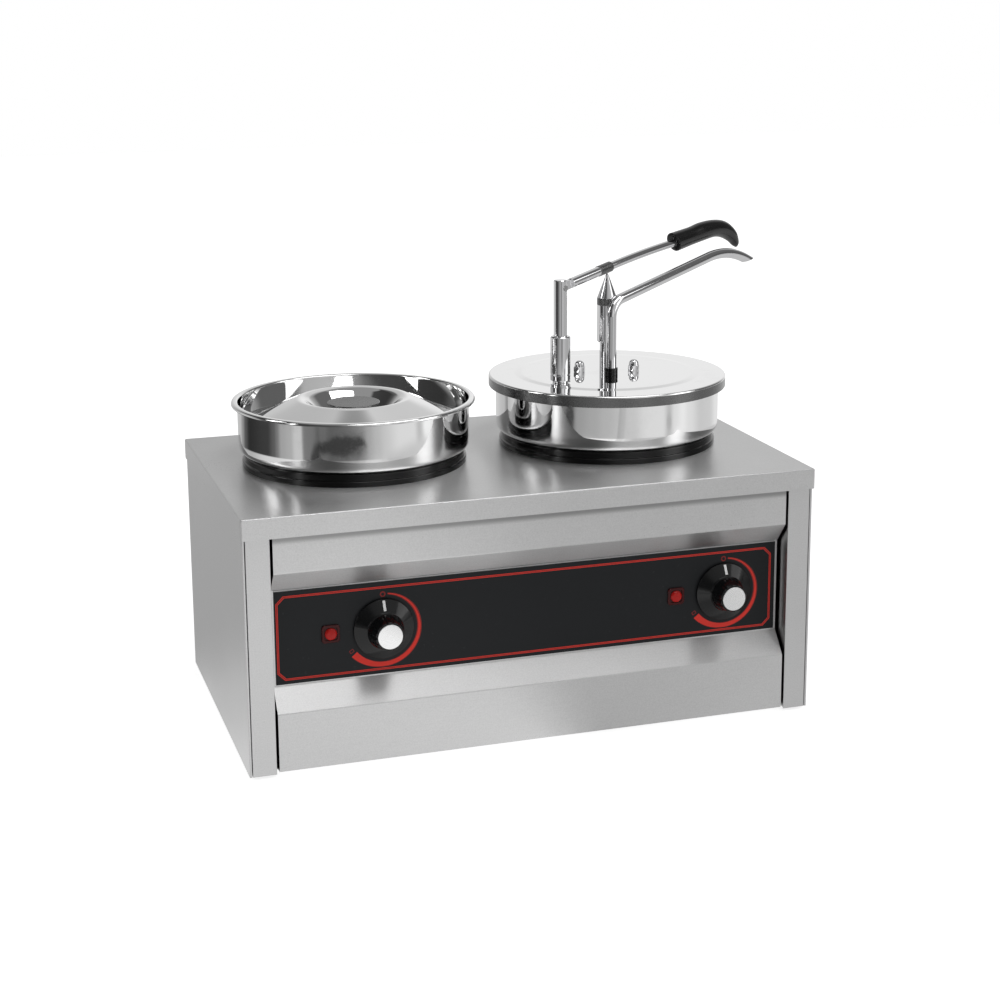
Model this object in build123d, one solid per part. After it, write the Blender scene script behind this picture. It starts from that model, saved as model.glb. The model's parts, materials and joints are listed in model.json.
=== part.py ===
from build123d import *
import math
import os

# A table-top warmer that keeps two round pots of sauce hot. The left pot has a plain lid.
# The right pot carries a lid with a lever pump: pressing the lever drives a plunger, which
# pushes sauce up a riser and out of a spout.
# Lengths are in millimetres. x runs to the right, y from the front into the depth, and z up
# from the surface that the warmer stands on. The housing is modelled about its own middle
# and everything is moved by STAND_X and STAND_Y at the end, because the lever and the spout
# reach out to the right: this puts the origin under the middle of the whole object.
STAND_X = -28.6
STAND_Y = 0.6

# Clearances
RUNNING_FIT = 0.1       # between a shaft or a pin and its hole, on the radius
GRIP_FIT = 0.02         # between a knob and its shaft
LOOSE_FIT = 0.3         # between pieces that lift or slide past each other
REST_GAP = 0.1          # under a piece that stands loose on another
SEAM = 0.2              # between sheets that meet edge to face

# Housing
WIDTH = 520.0
DEPTH = 302.0
HEIGHT = 229.4          # top of the top plate above the table
SHEET = 1.0
FOLD_R = 1.6            # outer radius of a folded edge
LIP_H = 18.5            # height of the top plate's turned-down lip
FRONT_INSET = 2.6       # the panels stand back from the lip by this
FASCIA_INSET = 3.0
HEM_W = 2.1             # the side panels end in front in a hem of this thickness
HEM_D = 8.0
SIDE_INSET = 1.2        # outer face of a side panel behind the lip's outer face
POST_GAP = 0.5          # dark joint between hem and corner post
POST_W = 20.65          # seen width of a corner post
POST_RETURN = 30.0      # depth of the flange that closes the end of the recess
FASCIA_GAP = 2.35       # joint between corner post and fascia
FASCIA_RETURN = 15.0    # flanges of the fascia at its top and bottom
RECESS_D = 16.5         # depth of the recess in the fascia
RECESS_Z0 = 75.0
RECESS_Z1 = 160.0
SLOPE_H = 19.5          # height of each slanted face above and below the recess
PAN_WALL = 18.0         # upright walls of the base pan
FOOT_H = 3.0
FOOT_R = 6.0
FOOT_PEG_R = 2.5
FOOT_INSET = 14.5
FOOT_SETBACK = 19.0

# Control plate, knobs and lamps
PLATE_W = 461.8
PLATE_Z0 = 76.5
PLATE_Z1 = 158.8
PLATE_T = 1.0
DIAL_Z = 117.3
KNOB_X = {"left": -136.8, "right": 180.0}
KNOB_GAP = 0.6
SKIRT_R = 26.6
SKIRT_EDGE = 2.0
SKIRT_H = 9.0
GRIP_R0 = 16.0
GRIP_R1 = 12.6
GRIP_H = 24.6
FLUTES = 14
FLUTE_R = 1.1
CAP_R = 10.8
CAP_T = 1.0
SHAFT_R = 3.0
SHAFT_FLAT = 0.8
SHAFT_GRIP = 14.0       # length of shaft inside the knob
SHAFT_HOLE_R = 5.0
BOX_SIDE = 42.0         # thermostat body
BOX_D = 26.0
BULB_R = 3.0
BULB_L = 70.0
BULB_BASE = 136.0
CAPILLARY_R = 1.0
LAMP_OFFSET = -46.2     # from a knob to its lamp
BEZEL_SIDE = 15.8
BEZEL_T = 1.6
BARREL_R = 6.0
BARREL_L = 22.0
LENS_R = 5.2
LENS_RISE = 1.0
LENS_ROUND = 0.9

# Wells, seal rings and pots
POT_X = {"left": -123.4, "right": 123.4}
POT_Y = 18.0
WELL_R = 98.3           # outer
WELL_T = 0.8
WELL_FLANGE_R = 101.0
WELL_CORNER = 8.0
WELL_FLOOR_GAP = 9.0    # water space under the pot
RING_R = 102.5
RING_BORE = 96.9
RING_H = 11.4
RING_STEP_H = 4.8
RING_STEP = 1.5
POT_T = 0.8
POT_R = 105.6           # outer, upper part
NECK_R = 96.0           # outer, the part that hangs in the well
RIM_R = 111.0
RIM_LIP = 3.0
POT_H = 155.2
RIM_RISE = 58.8         # rim of a pot above the top plate
SHOULDER_R = 7.0
POT_CORNER = 12.0
ELEMENT_R = 60.0        # heating element, radius of its ring
ELEMENT_WIRE = 3.5
ELEMENT_OPEN = 40.0     # degrees left open between its two ends
ELEMENT_LEG = 22.0
ELEMENT_SLEEVE = 0.5    # the legs are thicker than the ring by this

# Left lid
LID_T = 0.8
LID_R = 104.4
LID_EDGE_H = 23.3       # heights on the lid above the foot of its skirt
LID_RIDGE_R = 47.0
LID_RIDGE_H = 47.4      # where the dish wall and the cone would meet if not rounded
LID_RIDGE_ROUND = 9.0
LID_DISH_R = 27.0
LID_DISH_H = 23.9
LID_FOOT_R = 99.0
DISC_R = 24.3
DISC_T = 2.4
DISC_RISE = 17.7        # top of the disc above the dish
DISC_STEM_R = 6.0
RIVET_R = 2.5
RIVET_HEAD_R = 4.5

# Pump lid
COVER_RISE = 6.5        # top of the pump lid at its edge above the rim
COVER_T = 1.0
COVER_SKIRT = 10.4
COVER_RAISE = 0.8       # the middle of the lid stands up by this
COVER_RAISE_R = 84.0
GASKET_W = 6.0
HEAD_R = 34.0
HEAD_H = 8.0
STUD_R = 3.0
STUD_REACH = 26.0       # from the plunger to each stud
STUD_TURN = -42.65      # direction of the studs from the lever's direction, degrees
NUT_AF = 10.0
NUT_H = 5.3
NUT_DOME_R = 4.6
NUT_TOP = 11.0

# Lever post; the lever points LEVER_TURN degrees from +x towards +y
LEVER_TURN = 30.0
POST_REACH = 67.5       # from the plunger to the lever post
SLEEVE_R = 9.3
SLEEVE_GAP = 2.2
SLEEVE_H = 43.5         # top of the sleeve above the pump lid
SLEEVE_GROOVE_H = 7.5
SLEEVE_GROOVE = 0.7
SLEEVE_EDGE = 1.1       # chamfer round the top of the sleeve
SPIGOT_R = 5.0
SPIGOT_COLLAR_R = 7.2
SPIGOT_TAIL = 15.0
BAR_R = 6.3
BAR_SEAT = 27.0         # length of the bar inside the sleeve
BAR_OUT = 52.0
SLOT_W = 4.4
SLOT_H = 15.6
SLOT_CAP = 1.5
POST_NUT_AF = 16.0
POST_NUT_H = 8.0
LOCK_PIN_R = 1.0
LOCK_PIN_OUT = 13.4
LOCK_PIN_IN = 9.0
PIVOT_DROP = 7.3        # pivot below the top of the bar
PIVOT_R = 2.0
PIVOT_HEAD_R = 2.7
PIVOT_HEAD_T = 0.8

# Lever
LEVER_RISE = 9.2        # degrees, at rest
TONGUE_T = 4.0
TONGUE_R = 4.0
ARM_R = 4.65
ARM_START = 14.7
ARM_END = 70.0
COLLAR_R = 5.0
COLLAR_START = 54.5
COLLAR_END = 72.5
LEVER_ROD_R = 3.9
LEVER_ROD_IN = 14.0     # length of rod held in the arm
LEVER_ROD_BEND = 1300.0
LEVER_ROD_TURN = 6.0    # degrees of that bend
# Stations of the grip: distance along the lever, height, tilt in degrees, half height, half width
GRIP_STATIONS = (
    (171.8, -3.0, 13.0, 10.0, 8.0),
    (197.4, -4.0, -1.0, 9.1, 7.6),
    (216.3, -4.3, -3.0, 9.4, 8.0),
    (237.0, -6.4, -12.0, 8.7, 8.0),
    (252.9, -11.8, -27.0, 8.4, 7.4),
    (265.5, -21.4, -47.0, 6.9, 6.0),
    (271.3, -30.5, -64.0, 4.4, 4.0),
    (272.8, -34.5, -72.0, 1.8, 1.6),
)

# Plunger
STROKE = 25.0
TIP_GAP = 0.5           # between the lever and the plunger's tip
TIP_R = 1.0
CONE_H = 23.0
BAND_R = 9.5
BAND_H = 6.5
CASE_R = 9.3            # outer tube of the plunger
CASE_T = 0.8
CASE_H = 35.0
CASE_BUSH_H = 6.0
GUIDE_R = 6.8
GUIDE_T = 1.0
GUIDE_OVERLAP = 7.0     # the fixed guide tube reaches this far into the outer tube
ROD_R = 3.0
GLAND_H = 8.0
SPRING_WIRE_R = 0.6
SPRING_TURNS = 16
PISTON_H = 12.0
PISTON_GROOVE = 1.6
PISTON_SEAL_H = 4.0

# Pump cylinder, valves and spout
CYLINDER_R = 12.8
CYLINDER_T = 1.0
VALVE_GAP = 8.2         # between the floor of the pot and the valve block
VALVE_FLOOR = 8.0
VALVE_SOCKET = 5.0      # depth in which the riser sits in the valve block
VALVE_R = 17.0
OUTLET_R = 9.0
INLET_PORT_R = 3.0
INLET_BALL_R = 4.5
OUTLET_PORT_R = 2.2
OUTLET_BALL_R = 3.3
OUTLET_SEAT_H = 5.0     # seat of the outlet ball above the floor of the valve block
BALL_LIFT = 3.0
STOP_PIN_R = 0.8
STOP_PIN_INSET = 1.0    # the pins end this far inside the block
RISER_U = -11.2         # riser from the plunger, along the lever's direction
RISER_V = -14.5         # and across it
RISER_R = 5.0
RISER_T = 1.0
BEND_RISE = 54.2        # start of the riser's bend above the pump lid
BEND_R = 17.0
SPOUT_RISE = 10.0
SPOUT_RUN = 150.0       # from the riser to where the spout turns down
SPOUT_DROP_R = 110.0
SPOUT_DROP = 24.0
SPOUT_END = 12.0
MOUTH_OUT = 4.0640      # mouth from the end of the last bend, on the middle line
MOUTH_TILT = 11.0
SLEEVE_SEAL_R = 6.3
SLEEVE_SEAL_H = 7.0

# Mains connection
TERMINAL_GAP = 55.0     # from the gland to the middle of the terminal block
TERMINAL_SIZE = (60.0, 22.0, 20.0)
GLAND_INSET = 53.8      # from the outer face of the right side panel
CABLE_GLAND_R = 10.0
CABLE_BORE_R = 4.0
SCREW_R = 1.75
SCREW_HEAD_R = 3.6
SCREW_HEAD_H = 2.0
SCREW_L = 6.0
CABLE_FLANGE_W = 3.0    # the flange and nut of the cable gland are wider by this
CABLE_FLANGE_H = 8.0
CABLE_NUT_H = 6.0

# Values that follow from the sizes above
FRONT_Y = -DEPTH / 2
PANEL_Y = FRONT_Y + FRONT_INSET
FASCIA_Y = FRONT_Y + FASCIA_INSET
RECESS_Y = FASCIA_Y + RECESS_D
PLATE_Y = RECESS_Y - PLATE_T
PANEL_X = WIDTH / 2 - SIDE_INSET
PANEL_TOP = HEIGHT - SHEET - SEAM
POST_X1 = PANEL_X - HEM_W - POST_GAP
POST_X0 = POST_X1 - POST_W
FASCIA_X = POST_X0 - FASCIA_GAP
PAN_X = PANEL_X - SHEET - SEAM
PAN_Y0 = PANEL_Y + HEM_D + 3 * SHEET
PAN_Y1 = -PANEL_Y - SHEET - SEAM
PAN_TOP = FOOT_H + SHEET
BACK_SCREW_Z = FOOT_H + PAN_WALL / 2
HOLE_R = WELL_R + WELL_T
RIM_Z = HEIGHT + RIM_RISE
NECK_BORE_Z = HEIGHT + RING_H + REST_GAP
POT_BASE = RIM_Z - POT_H
WELL_BASE = POT_BASE - WELL_FLOOR_GAP - WELL_T
COVER_R = RIM_R + LOOSE_FIT + COVER_T
LID_FOOT_Z = NECK_BORE_Z + POT_T + REST_GAP + LOOSE_FIT
LID_EDGE_Z = LID_FOOT_Z + LID_EDGE_H
LID_RIDGE_Z = LID_FOOT_Z + LID_RIDGE_H
LID_DISH_Z = LID_FOOT_Z + LID_DISH_H
DISC_TOP = LID_DISH_Z + DISC_RISE
COVER_TOP = RIM_Z + COVER_RISE
DECK_Z = COVER_TOP + COVER_RAISE
HEAD_TOP = DECK_Z - COVER_T
HEAD_Z = HEAD_TOP - HEAD_H
SLEEVE_TOP = DECK_Z + SLEEVE_H
SLEEVE_GROOVE_Z = DECK_Z + SLEEVE_GROOVE_H
BAR_BASE = SLEEVE_TOP - BAR_SEAT
BAR_TOP = SLEEVE_TOP + BAR_OUT
PIVOT_Z = BAR_TOP - PIVOT_DROP
BEND_Z = DECK_Z + BEND_RISE
VALVE_Z = POT_BASE + POT_T + VALVE_GAP
LEVER_SLOPE = math.radians(LEVER_RISE)
LEVER_UNDER = PIVOT_Z + POST_REACH * math.tan(LEVER_SLOPE) - COLLAR_R / math.cos(LEVER_SLOPE)
TIP_Z = LEVER_UNDER - TIP_GAP
BAND_TOP = TIP_Z - CONE_H
CASE_TOP = BAND_TOP - BAND_H
CASE_BASE = CASE_TOP - CASE_H
GUIDE_TOP = CASE_BASE + GUIDE_OVERLAP
BALL_FLOOR = VALVE_Z + VALVE_FLOOR
INLET_BALL_Z = BALL_FLOOR + REST_GAP + math.sqrt(INLET_BALL_R**2 - INLET_PORT_R**2)
OUTLET_SEAT_Z = BALL_FLOOR + OUTLET_SEAT_H
OUTLET_BALL_Z = OUTLET_SEAT_Z + REST_GAP + math.sqrt(OUTLET_BALL_R**2 - OUTLET_PORT_R**2)
INLET_STOP_Z = INLET_BALL_Z + INLET_BALL_R + BALL_LIFT + STOP_PIN_R + REST_GAP
OUTLET_STOP_Z = OUTLET_BALL_Z + OUTLET_BALL_R + BALL_LIFT + STOP_PIN_R + REST_GAP
CYLINDER_BORE = CYLINDER_R - CYLINDER_T
CYLINDER_BASE = INLET_STOP_Z + STOP_PIN_R + CYLINDER_T
RISER_BASE = OUTLET_STOP_Z + STOP_PIN_R + REST_GAP
VALVE_TOP = RISER_BASE + VALVE_SOCKET
PISTON_BASE = INLET_STOP_Z + STOP_PIN_R + STROKE + 2 * CYLINDER_T
SPRING_BASE = HEAD_Z + GLAND_H + SPRING_WIRE_R + REST_GAP
SPRING_TOP = CASE_TOP - SPRING_WIRE_R - REST_GAP
SPRING_R = (ROD_R + GUIDE_R - GUIDE_T) / 2
GLAND_X = PANEL_X - GLAND_INSET
GLAND_Z = FOOT_H + PAN_WALL + 2 * CABLE_GLAND_R
TERMINAL_X = GLAND_X - TERMINAL_GAP
OVER = 5.0              # how far a cutting shape runs past what it cuts
CUT_L = 50.0            # length of a shape that cuts right through on both sides

PUMP_PLACE = Pos(POT_X["right"], POT_Y, 0) * Rot(0, 0, LEVER_TURN)
LEVER_PLACE = PUMP_PLACE * Pos(-POST_REACH, 0, PIVOT_Z) * Rot(0, -LEVER_RISE, 0)


# Shapes used more than once
def block(x, y, z):
    """A box between two limits on each axis."""
    size = [limits[1] - limits[0] for limits in (x, y, z)]
    middle = [(limits[0] + limits[1]) / 2 for limits in (x, y, z)]
    return Pos(*middle) * Box(*size)


def upright(x, y, z0, z1, r):
    """A cylinder standing on z0 and ending at z1."""
    return Pos(x, y, (z0 + z1) / 2) * Cylinder(r, z1 - z0)


def pipe(x, y, z0, z1, r, bore):
    """An upright tube."""
    return upright(x, y, z0, z1, r) - upright(x, y, z0 - OVER, z1 + OVER, bore)


def hexagon(x, y, z0, z1, across_flats):
    """An upright hexagonal bar."""
    outline = RegularPolygon(across_flats / 2, 6, major_radius=False)
    return Pos(x, y, z0) * extrude(outline, z1 - z0)


def turned_sheet(points, radii, thickness):
    """Sheet of one thickness turned about z; points are (radius, height) on its middle line."""
    middle_line = FilletPolyline(*points, radius=radii)
    return revolve(Plane.XZ * trace(middle_line, thickness), Axis.Z)


def folded_sheet(points, radius, thickness, x0, x1):
    """Sheet folded along x; points are (y, z) on its middle line."""
    middle_line = FilletPolyline(*points, radius=radius)
    return Pos(x0, 0, 0) * extrude(Plane.YZ * trace(middle_line, thickness), x1 - x0)


def turned(points):
    """A solid turned about z from its closed outline of (radius, height) points."""
    return revolve(Plane.XZ * make_face(Polyline(*points, close=True)), Axis.Z)


def front_place(x, z):
    """Turns a piece modelled upwards so that it points out of the control plate."""
    return Pos(x, PLATE_Y, z) * Rot(90, 0, 0)


# Housing
def top_plate():
    """A tray turned upside down, with one hole for each well."""
    outer = block((-WIDTH / 2, WIDTH / 2), (FRONT_Y, -FRONT_Y), (HEIGHT - LIP_H, HEIGHT))
    outer = fillet(outer.edges().filter_by(Axis.Z) + outer.faces().sort_by(Axis.Z)[-1].edges(), FOLD_R)
    inside_x = WIDTH / 2 - SHEET
    inside_y = -FRONT_Y - SHEET
    inner = block((-inside_x, inside_x), (-inside_y, inside_y), (HEIGHT - LIP_H - OVER, HEIGHT - SHEET))
    edges = inner.edges().filter_by(Axis.Z) + inner.faces().sort_by(Axis.Z)[-1].edges()
    plate = outer - fillet(edges, FOLD_R - SHEET)
    for x in POT_X.values():
        plate -= upright(x, POT_Y, HEIGHT - LIP_H, HEIGHT + OVER, HOLE_R)
    return plate


def side_panel(side):
    """Flat sheet whose front edge is folded back on itself; side is -1 left and 1 right."""
    skin = block((PANEL_X - SHEET, PANEL_X), (PANEL_Y, -PANEL_Y), (FOOT_H, PANEL_TOP))
    hem = block((PANEL_X - HEM_W, PANEL_X), (PANEL_Y, PANEL_Y + HEM_D), (FOOT_H, PANEL_TOP))
    panel = skin + hem
    front = panel.faces().sort_by(Axis.Y)[0].edges().filter_by(Axis.Z)
    panel = fillet(front, HEM_W / 3)
    return panel if side > 0 else mirror(panel, Plane.YZ)


def corner_posts():
    """The two narrow faces beside the fascia, each folded back on both sides."""
    face = block((POST_X0, POST_X1), (PANEL_Y, PANEL_Y + SHEET), (FOOT_H, PANEL_TOP))
    face += block((POST_X1 - SHEET, POST_X1), (PANEL_Y, PANEL_Y + HEM_D), (FOOT_H, PANEL_TOP))
    inner = block((POST_X0, POST_X0 + SHEET), (PANEL_Y, PANEL_Y + POST_RETURN), (PAN_TOP + SEAM, PANEL_TOP))
    post = face + inner
    front = post.faces().sort_by(Axis.Y)[0].edges().filter_by(Axis.Z)
    post = fillet(front, SHEET / 2)
    return [post, mirror(post, Plane.YZ)]


def fascia():
    """Front sheet with a recess between two slanted faces, and holes for what sits in it."""
    face = FASCIA_Y + SHEET / 2
    floor = RECESS_Y + SHEET / 2
    top = PANEL_TOP - SHEET / 2
    bottom = PAN_TOP + SHEET / 2
    points = (
        (face + FASCIA_RETURN, top),
        (face, top),
        (face, RECESS_Z1 + SLOPE_H),
        (floor, RECESS_Z1),
        (floor, RECESS_Z0),
        (face, RECESS_Z0 - SLOPE_H),
        (face, bottom),
        (face + FASCIA_RETURN, bottom),
    )
    sheet = folded_sheet(points, FOLD_R, SHEET, -FASCIA_X, FASCIA_X)
    for x in KNOB_X.values():
        sheet -= front_hole(x, SHAFT_HOLE_R)
        sheet -= front_hole(x + LAMP_OFFSET, BARREL_R + RUNNING_FIT)
    return sheet


def front_hole(x, r):
    """Cutting cylinder through control plate and fascia at dial height."""
    return front_place(x, DIAL_Z) * Cylinder(r, CUT_L)


def control_plate():
    """Thin plate on the floor of the recess."""
    plate = block((-PLATE_W / 2, PLATE_W / 2), (PLATE_Y, RECESS_Y), (PLATE_Z0, PLATE_Z1))
    for x in KNOB_X.values():
        plate -= front_hole(x, SHAFT_HOLE_R)
        plate -= front_hole(x + LAMP_OFFSET, BARREL_R + RUNNING_FIT)
    return plate


def base_pan():
    """Floor of the housing with upright walls at the sides and the back."""
    pan = block((-PAN_X, PAN_X), (PAN_Y0, PAN_Y1), (FOOT_H, FOOT_H + PAN_WALL))
    inside = PAN_X - SHEET
    pan -= block((-inside, inside), (PAN_Y0 - OVER, PAN_Y1 - SHEET), (PAN_TOP, FOOT_H + PAN_WALL + OVER))
    for x, y in foot_places():
        pan -= upright(x, y, 0, FOOT_H + PAN_WALL, FOOT_PEG_R + RUNNING_FIT)
    for x in back_screw_places():
        pan -= back_pin(x, BACK_SCREW_Z, SCREW_R)
    return pan


def foot_places():
    """The corners where the feet sit."""
    x = WIDTH / 2 - FOOT_INSET
    y = -FRONT_Y - FOOT_SETBACK
    return [(-x, -y), (x, -y), (-x, y), (x, y)]


def feet():
    """Four rubber discs, each with a peg through the base pan."""
    return [
        upright(x, y, 0, FOOT_H, FOOT_R) + upright(x, y, 0, PAN_TOP + SHEET, FOOT_PEG_R)
        for x, y in foot_places()
    ]


def back_panel():
    """Flat sheet between the side panels, with the hole for the cable gland."""
    panel = block((-PAN_X, PAN_X), (-PANEL_Y - SHEET, -PANEL_Y), (FOOT_H, PANEL_TOP))
    panel -= back_pin(GLAND_X, GLAND_Z, CABLE_GLAND_R)
    for x in back_screw_places():
        panel -= back_pin(x, BACK_SCREW_Z, SCREW_R)
    return panel


def back_pin(x, z, r):
    """Cutting cylinder along y through the back panel and the wall of the pan."""
    return Pos(x, -PANEL_Y, z) * Rot(90, 0, 0) * Cylinder(r, CUT_L)


def back_screw_places():
    """Evenly spread screws along the foot of the back panel."""
    return [step * (PAN_X - FOOT_INSET) for step in (-1, -1 / 3, 1 / 3, 1)]


def back_panel_screws():
    """Pan-head screws that hold the back panel to the base pan."""
    screw = upright(0, 0, -SCREW_L, 0, SCREW_R)
    screw += upright(0, 0, 0, SCREW_HEAD_H, SCREW_HEAD_R)
    return [Pos(x, -PANEL_Y, BACK_SCREW_Z) * Rot(-90, 0, 0) * screw for x in back_screw_places()]


def terminal_block():
    """Screw terminal on the floor of the housing."""
    length, depth, height = TERMINAL_SIZE
    y = PAN_Y1 - SHEET - 2 * depth
    x0 = TERMINAL_X - length / 2
    body = block((x0, x0 + length), (y, y + depth), (PAN_TOP, PAN_TOP + height))
    for step in range(3):
        x = TERMINAL_X + (step - 1) * length / 3
        body -= upright(x, y + depth / 2, PAN_TOP + height / 2, PAN_TOP + height + OVER, length / 12)
    return body


def cable_gland():
    """Gland for the mains cable, with a flange outside and a nut inside the back panel."""
    flange = upright(0, 0, 0, CABLE_FLANGE_H, CABLE_GLAND_R + CABLE_FLANGE_W)
    neck = upright(0, 0, -SHEET, 0, CABLE_GLAND_R - SEAM)
    outline = RegularPolygon(CABLE_GLAND_R + CABLE_FLANGE_W, 6)
    nut = Pos(0, 0, -SHEET - CABLE_NUT_H) * extrude(outline, CABLE_NUT_H)
    body = flange + neck + nut - Cylinder(CABLE_BORE_R, CUT_L)
    return Pos(GLAND_X, -PANEL_Y, GLAND_Z) * Rot(-90, 0, 0) * body


# Wells and pots
def well(side):
    """Round tub that hangs by its flange from the top plate."""
    middle_r = WELL_R - WELL_T / 2
    points = (
        (0, WELL_BASE + WELL_T / 2),
        (middle_r, WELL_BASE + WELL_T / 2),
        (middle_r, HEIGHT + WELL_T / 2),
        (WELL_FLANGE_R, HEIGHT + WELL_T / 2),
    )
    return Pos(POT_X[side], POT_Y, 0) * turned_sheet(points, (WELL_CORNER, WELL_T), WELL_T)


def seal_rings():
    """Stepped rubber rings over the flanges of the wells; the pots stand on them."""
    top = HEIGHT + RING_H
    over_flange = HEIGHT + WELL_T
    profile = (
        (RING_BORE, over_flange),
        (WELL_FLANGE_R + SEAM, over_flange),
        (WELL_FLANGE_R + SEAM, HEIGHT),
        (RING_R, HEIGHT),
        (RING_R, HEIGHT + RING_STEP_H),
        (RING_R - RING_STEP, HEIGHT + RING_STEP_H + RING_STEP / 2),
        (RING_R - RING_STEP, top),
        (RING_BORE, top),
    )
    return [Pos(x, POT_Y, 0) * turned(profile) for x in POT_X.values()]


def pot(side):
    """Stepped pot: the neck hangs in the well and the shoulder stands on the seal ring."""
    half = POT_T / 2
    points = (
        (0, POT_BASE + half),
        (NECK_R - half, POT_BASE + half),
        (NECK_R - half, NECK_BORE_Z + half),
        (POT_R - half, NECK_BORE_Z + half),
        (POT_R - half, RIM_Z - half),
        (RIM_R - half, RIM_Z - half),
        (RIM_R - half, RIM_Z - RIM_LIP),
    )
    radii = (POT_CORNER, 2 * POT_T, SHOULDER_R, 2 * POT_T, POT_T)
    return Pos(POT_X[side], POT_Y, 0) * turned_sheet(points, radii, POT_T)


def heating_elements():
    """Open ring of tube under the floor of each well, with two legs for the wires."""
    z = WELL_BASE - ELEMENT_WIRE - REST_GAP
    section = Pos(ELEMENT_R, 0, z) * Rot(90, 0, 0) * Circle(ELEMENT_WIRE)
    ring = revolve(section, Axis.Z, 360 - ELEMENT_OPEN)
    for angle in (0, 360 - ELEMENT_OPEN):
        x = ELEMENT_R * math.cos(math.radians(angle))
        y = ELEMENT_R * math.sin(math.radians(angle))
        ring += upright(x, y, z - ELEMENT_LEG, z + ELEMENT_WIRE, ELEMENT_WIRE + ELEMENT_SLEEVE)
    return [Pos(x, POT_Y, 0) * Rot(0, 0, -90 + ELEMENT_OPEN / 2) * ring for x in POT_X.values()]


# Controls
def knob(side):
    """Turned knob: a wide cone for a skirt and a fluted grip."""
    outline = (
        (0, KNOB_GAP),
        (SKIRT_R, KNOB_GAP),
        (SKIRT_R, KNOB_GAP + SKIRT_EDGE),
        (GRIP_R0, SKIRT_H),
        (GRIP_R1, GRIP_H),
        (0, GRIP_H),
    )
    body = turned(outline)
    lean = math.degrees(math.atan2(GRIP_R0 - GRIP_R1, GRIP_H - SKIRT_H))
    flute = Pos(GRIP_R0 + FLUTE_R / 3, 0, SKIRT_H) * Rot(0, -lean, 0) * Pos(0, 0, GRIP_H / 2) * Cylinder(
        FLUTE_R, GRIP_H
    )
    for step in range(FLUTES):
        body -= Rot(0, 0, 360 * step / FLUTES) * flute
    body -= upright(0, 0, GRIP_H - CAP_T / 2, GRIP_H + OVER, CAP_R)
    body -= knob_shaft_shape(GRIP_FIT)
    return front_place(KNOB_X[side], DIAL_Z) * body


def knob_shaft_shape(extra):
    """Shaft with a flat along the part that the knob grips."""
    back = -(PLATE_T + SHEET + BOX_D / 2)
    shaft = upright(0, 0, back, SHAFT_GRIP, SHAFT_R + extra)
    flat = SHAFT_R - SHAFT_FLAT + extra
    return shaft - block((-2 * SHAFT_R, 2 * SHAFT_R), (flat, 2 * SHAFT_R), (KNOB_GAP, SHAFT_GRIP + OVER))


def knob_cap(side):
    """Metal disc let into the front of the grip."""
    disc = upright(0, 0, GRIP_H - CAP_T / 2, GRIP_H + CAP_T / 2, CAP_R)
    return front_place(KNOB_X[side], DIAL_Z) * chamfer(disc.faces().sort_by(Axis.Z)[-1].edges(), CAP_T / 3)


def knob_shaft(side):
    """Shaft of the thermostat, turned by the knob."""
    return front_place(KNOB_X[side], DIAL_Z) * knob_shaft_shape(0)


def thermostats():
    """Body behind the fascia with a thin tube to a bulb that feels the wall of the well."""
    bodies = []
    front = RECESS_Y + SHEET
    back = front + BOX_D
    half = BOX_SIDE / 2
    for side, x in KNOB_X.items():
        box = block((x - half, x + half), (front, back), (DIAL_Z - half, DIAL_Z + half))
        bore = upright(0, 0, -(PLATE_T + SHEET + BOX_D), OVER, SHAFT_R + RUNNING_FIT)
        box -= front_place(x, DIAL_Z) * bore
        bulb_y = POT_Y - WELL_R - BULB_R - LOOSE_FIT
        bulb = upright(POT_X[side], bulb_y, BULB_BASE, BULB_BASE + BULB_L, BULB_R)
        start = Vector(x, back - CAPILLARY_R, DIAL_Z - half / 2)
        end = Vector(POT_X[side], bulb_y, BULB_BASE + CAPILLARY_R)
        path = Spline(start, end, tangents=((0, 1, 0), (0, 0, 1)))
        capillary = sweep(Plane(path @ 0, z_dir=path % 0) * Circle(CAPILLARY_R), path)
        bodies.append(box + capillary + bulb)
    return bodies


def indicator_bezels():
    """Square lamp holders with a barrel through the control plate."""
    bezel = Pos(0, 0, BEZEL_T / 2) * Box(BEZEL_SIDE, BEZEL_SIDE, BEZEL_T)
    bezel = chamfer(bezel.faces().sort_by(Axis.Z)[-1].edges(), BEZEL_T / 3)
    bezel += upright(0, 0, -BARREL_L, BEZEL_T / 2, BARREL_R)
    bezel -= upright(0, 0, -BARREL_L / 2, BEZEL_T + OVER, LENS_R)
    return [front_place(x + LAMP_OFFSET, DIAL_Z) * bezel for x in KNOB_X.values()]


def indicator_lenses():
    """Red lenses in the lamp holders."""
    lens = upright(0, 0, -BARREL_L / 2, BEZEL_T + LENS_RISE, LENS_R)
    lens = fillet(lens.faces().sort_by(Axis.Z)[-1].edges(), LENS_ROUND)
    return [front_place(x + LAMP_OFFSET, DIAL_Z) * lens for x in KNOB_X.values()]


# Left lid
def lid_left():
    """Cone with a dish in its middle; a skirt below stands on the shoulder inside the pot."""
    half = LID_T / 2
    points = (
        (0, LID_DISH_Z),
        (LID_DISH_R, LID_DISH_Z),
        (LID_RIDGE_R, LID_RIDGE_Z),
        (LID_R - half, LID_EDGE_Z),
        (LID_FOOT_R, LID_FOOT_Z),
    )
    sheet = turned_sheet(points, (8 * LID_T, LID_RIDGE_ROUND, 2 * LID_T), LID_T)
    sheet -= upright(0, 0, LID_DISH_Z - OVER, LID_DISH_Z + OVER, RIVET_R)
    return Pos(POT_X["left"], POT_Y, 0) * sheet


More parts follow.
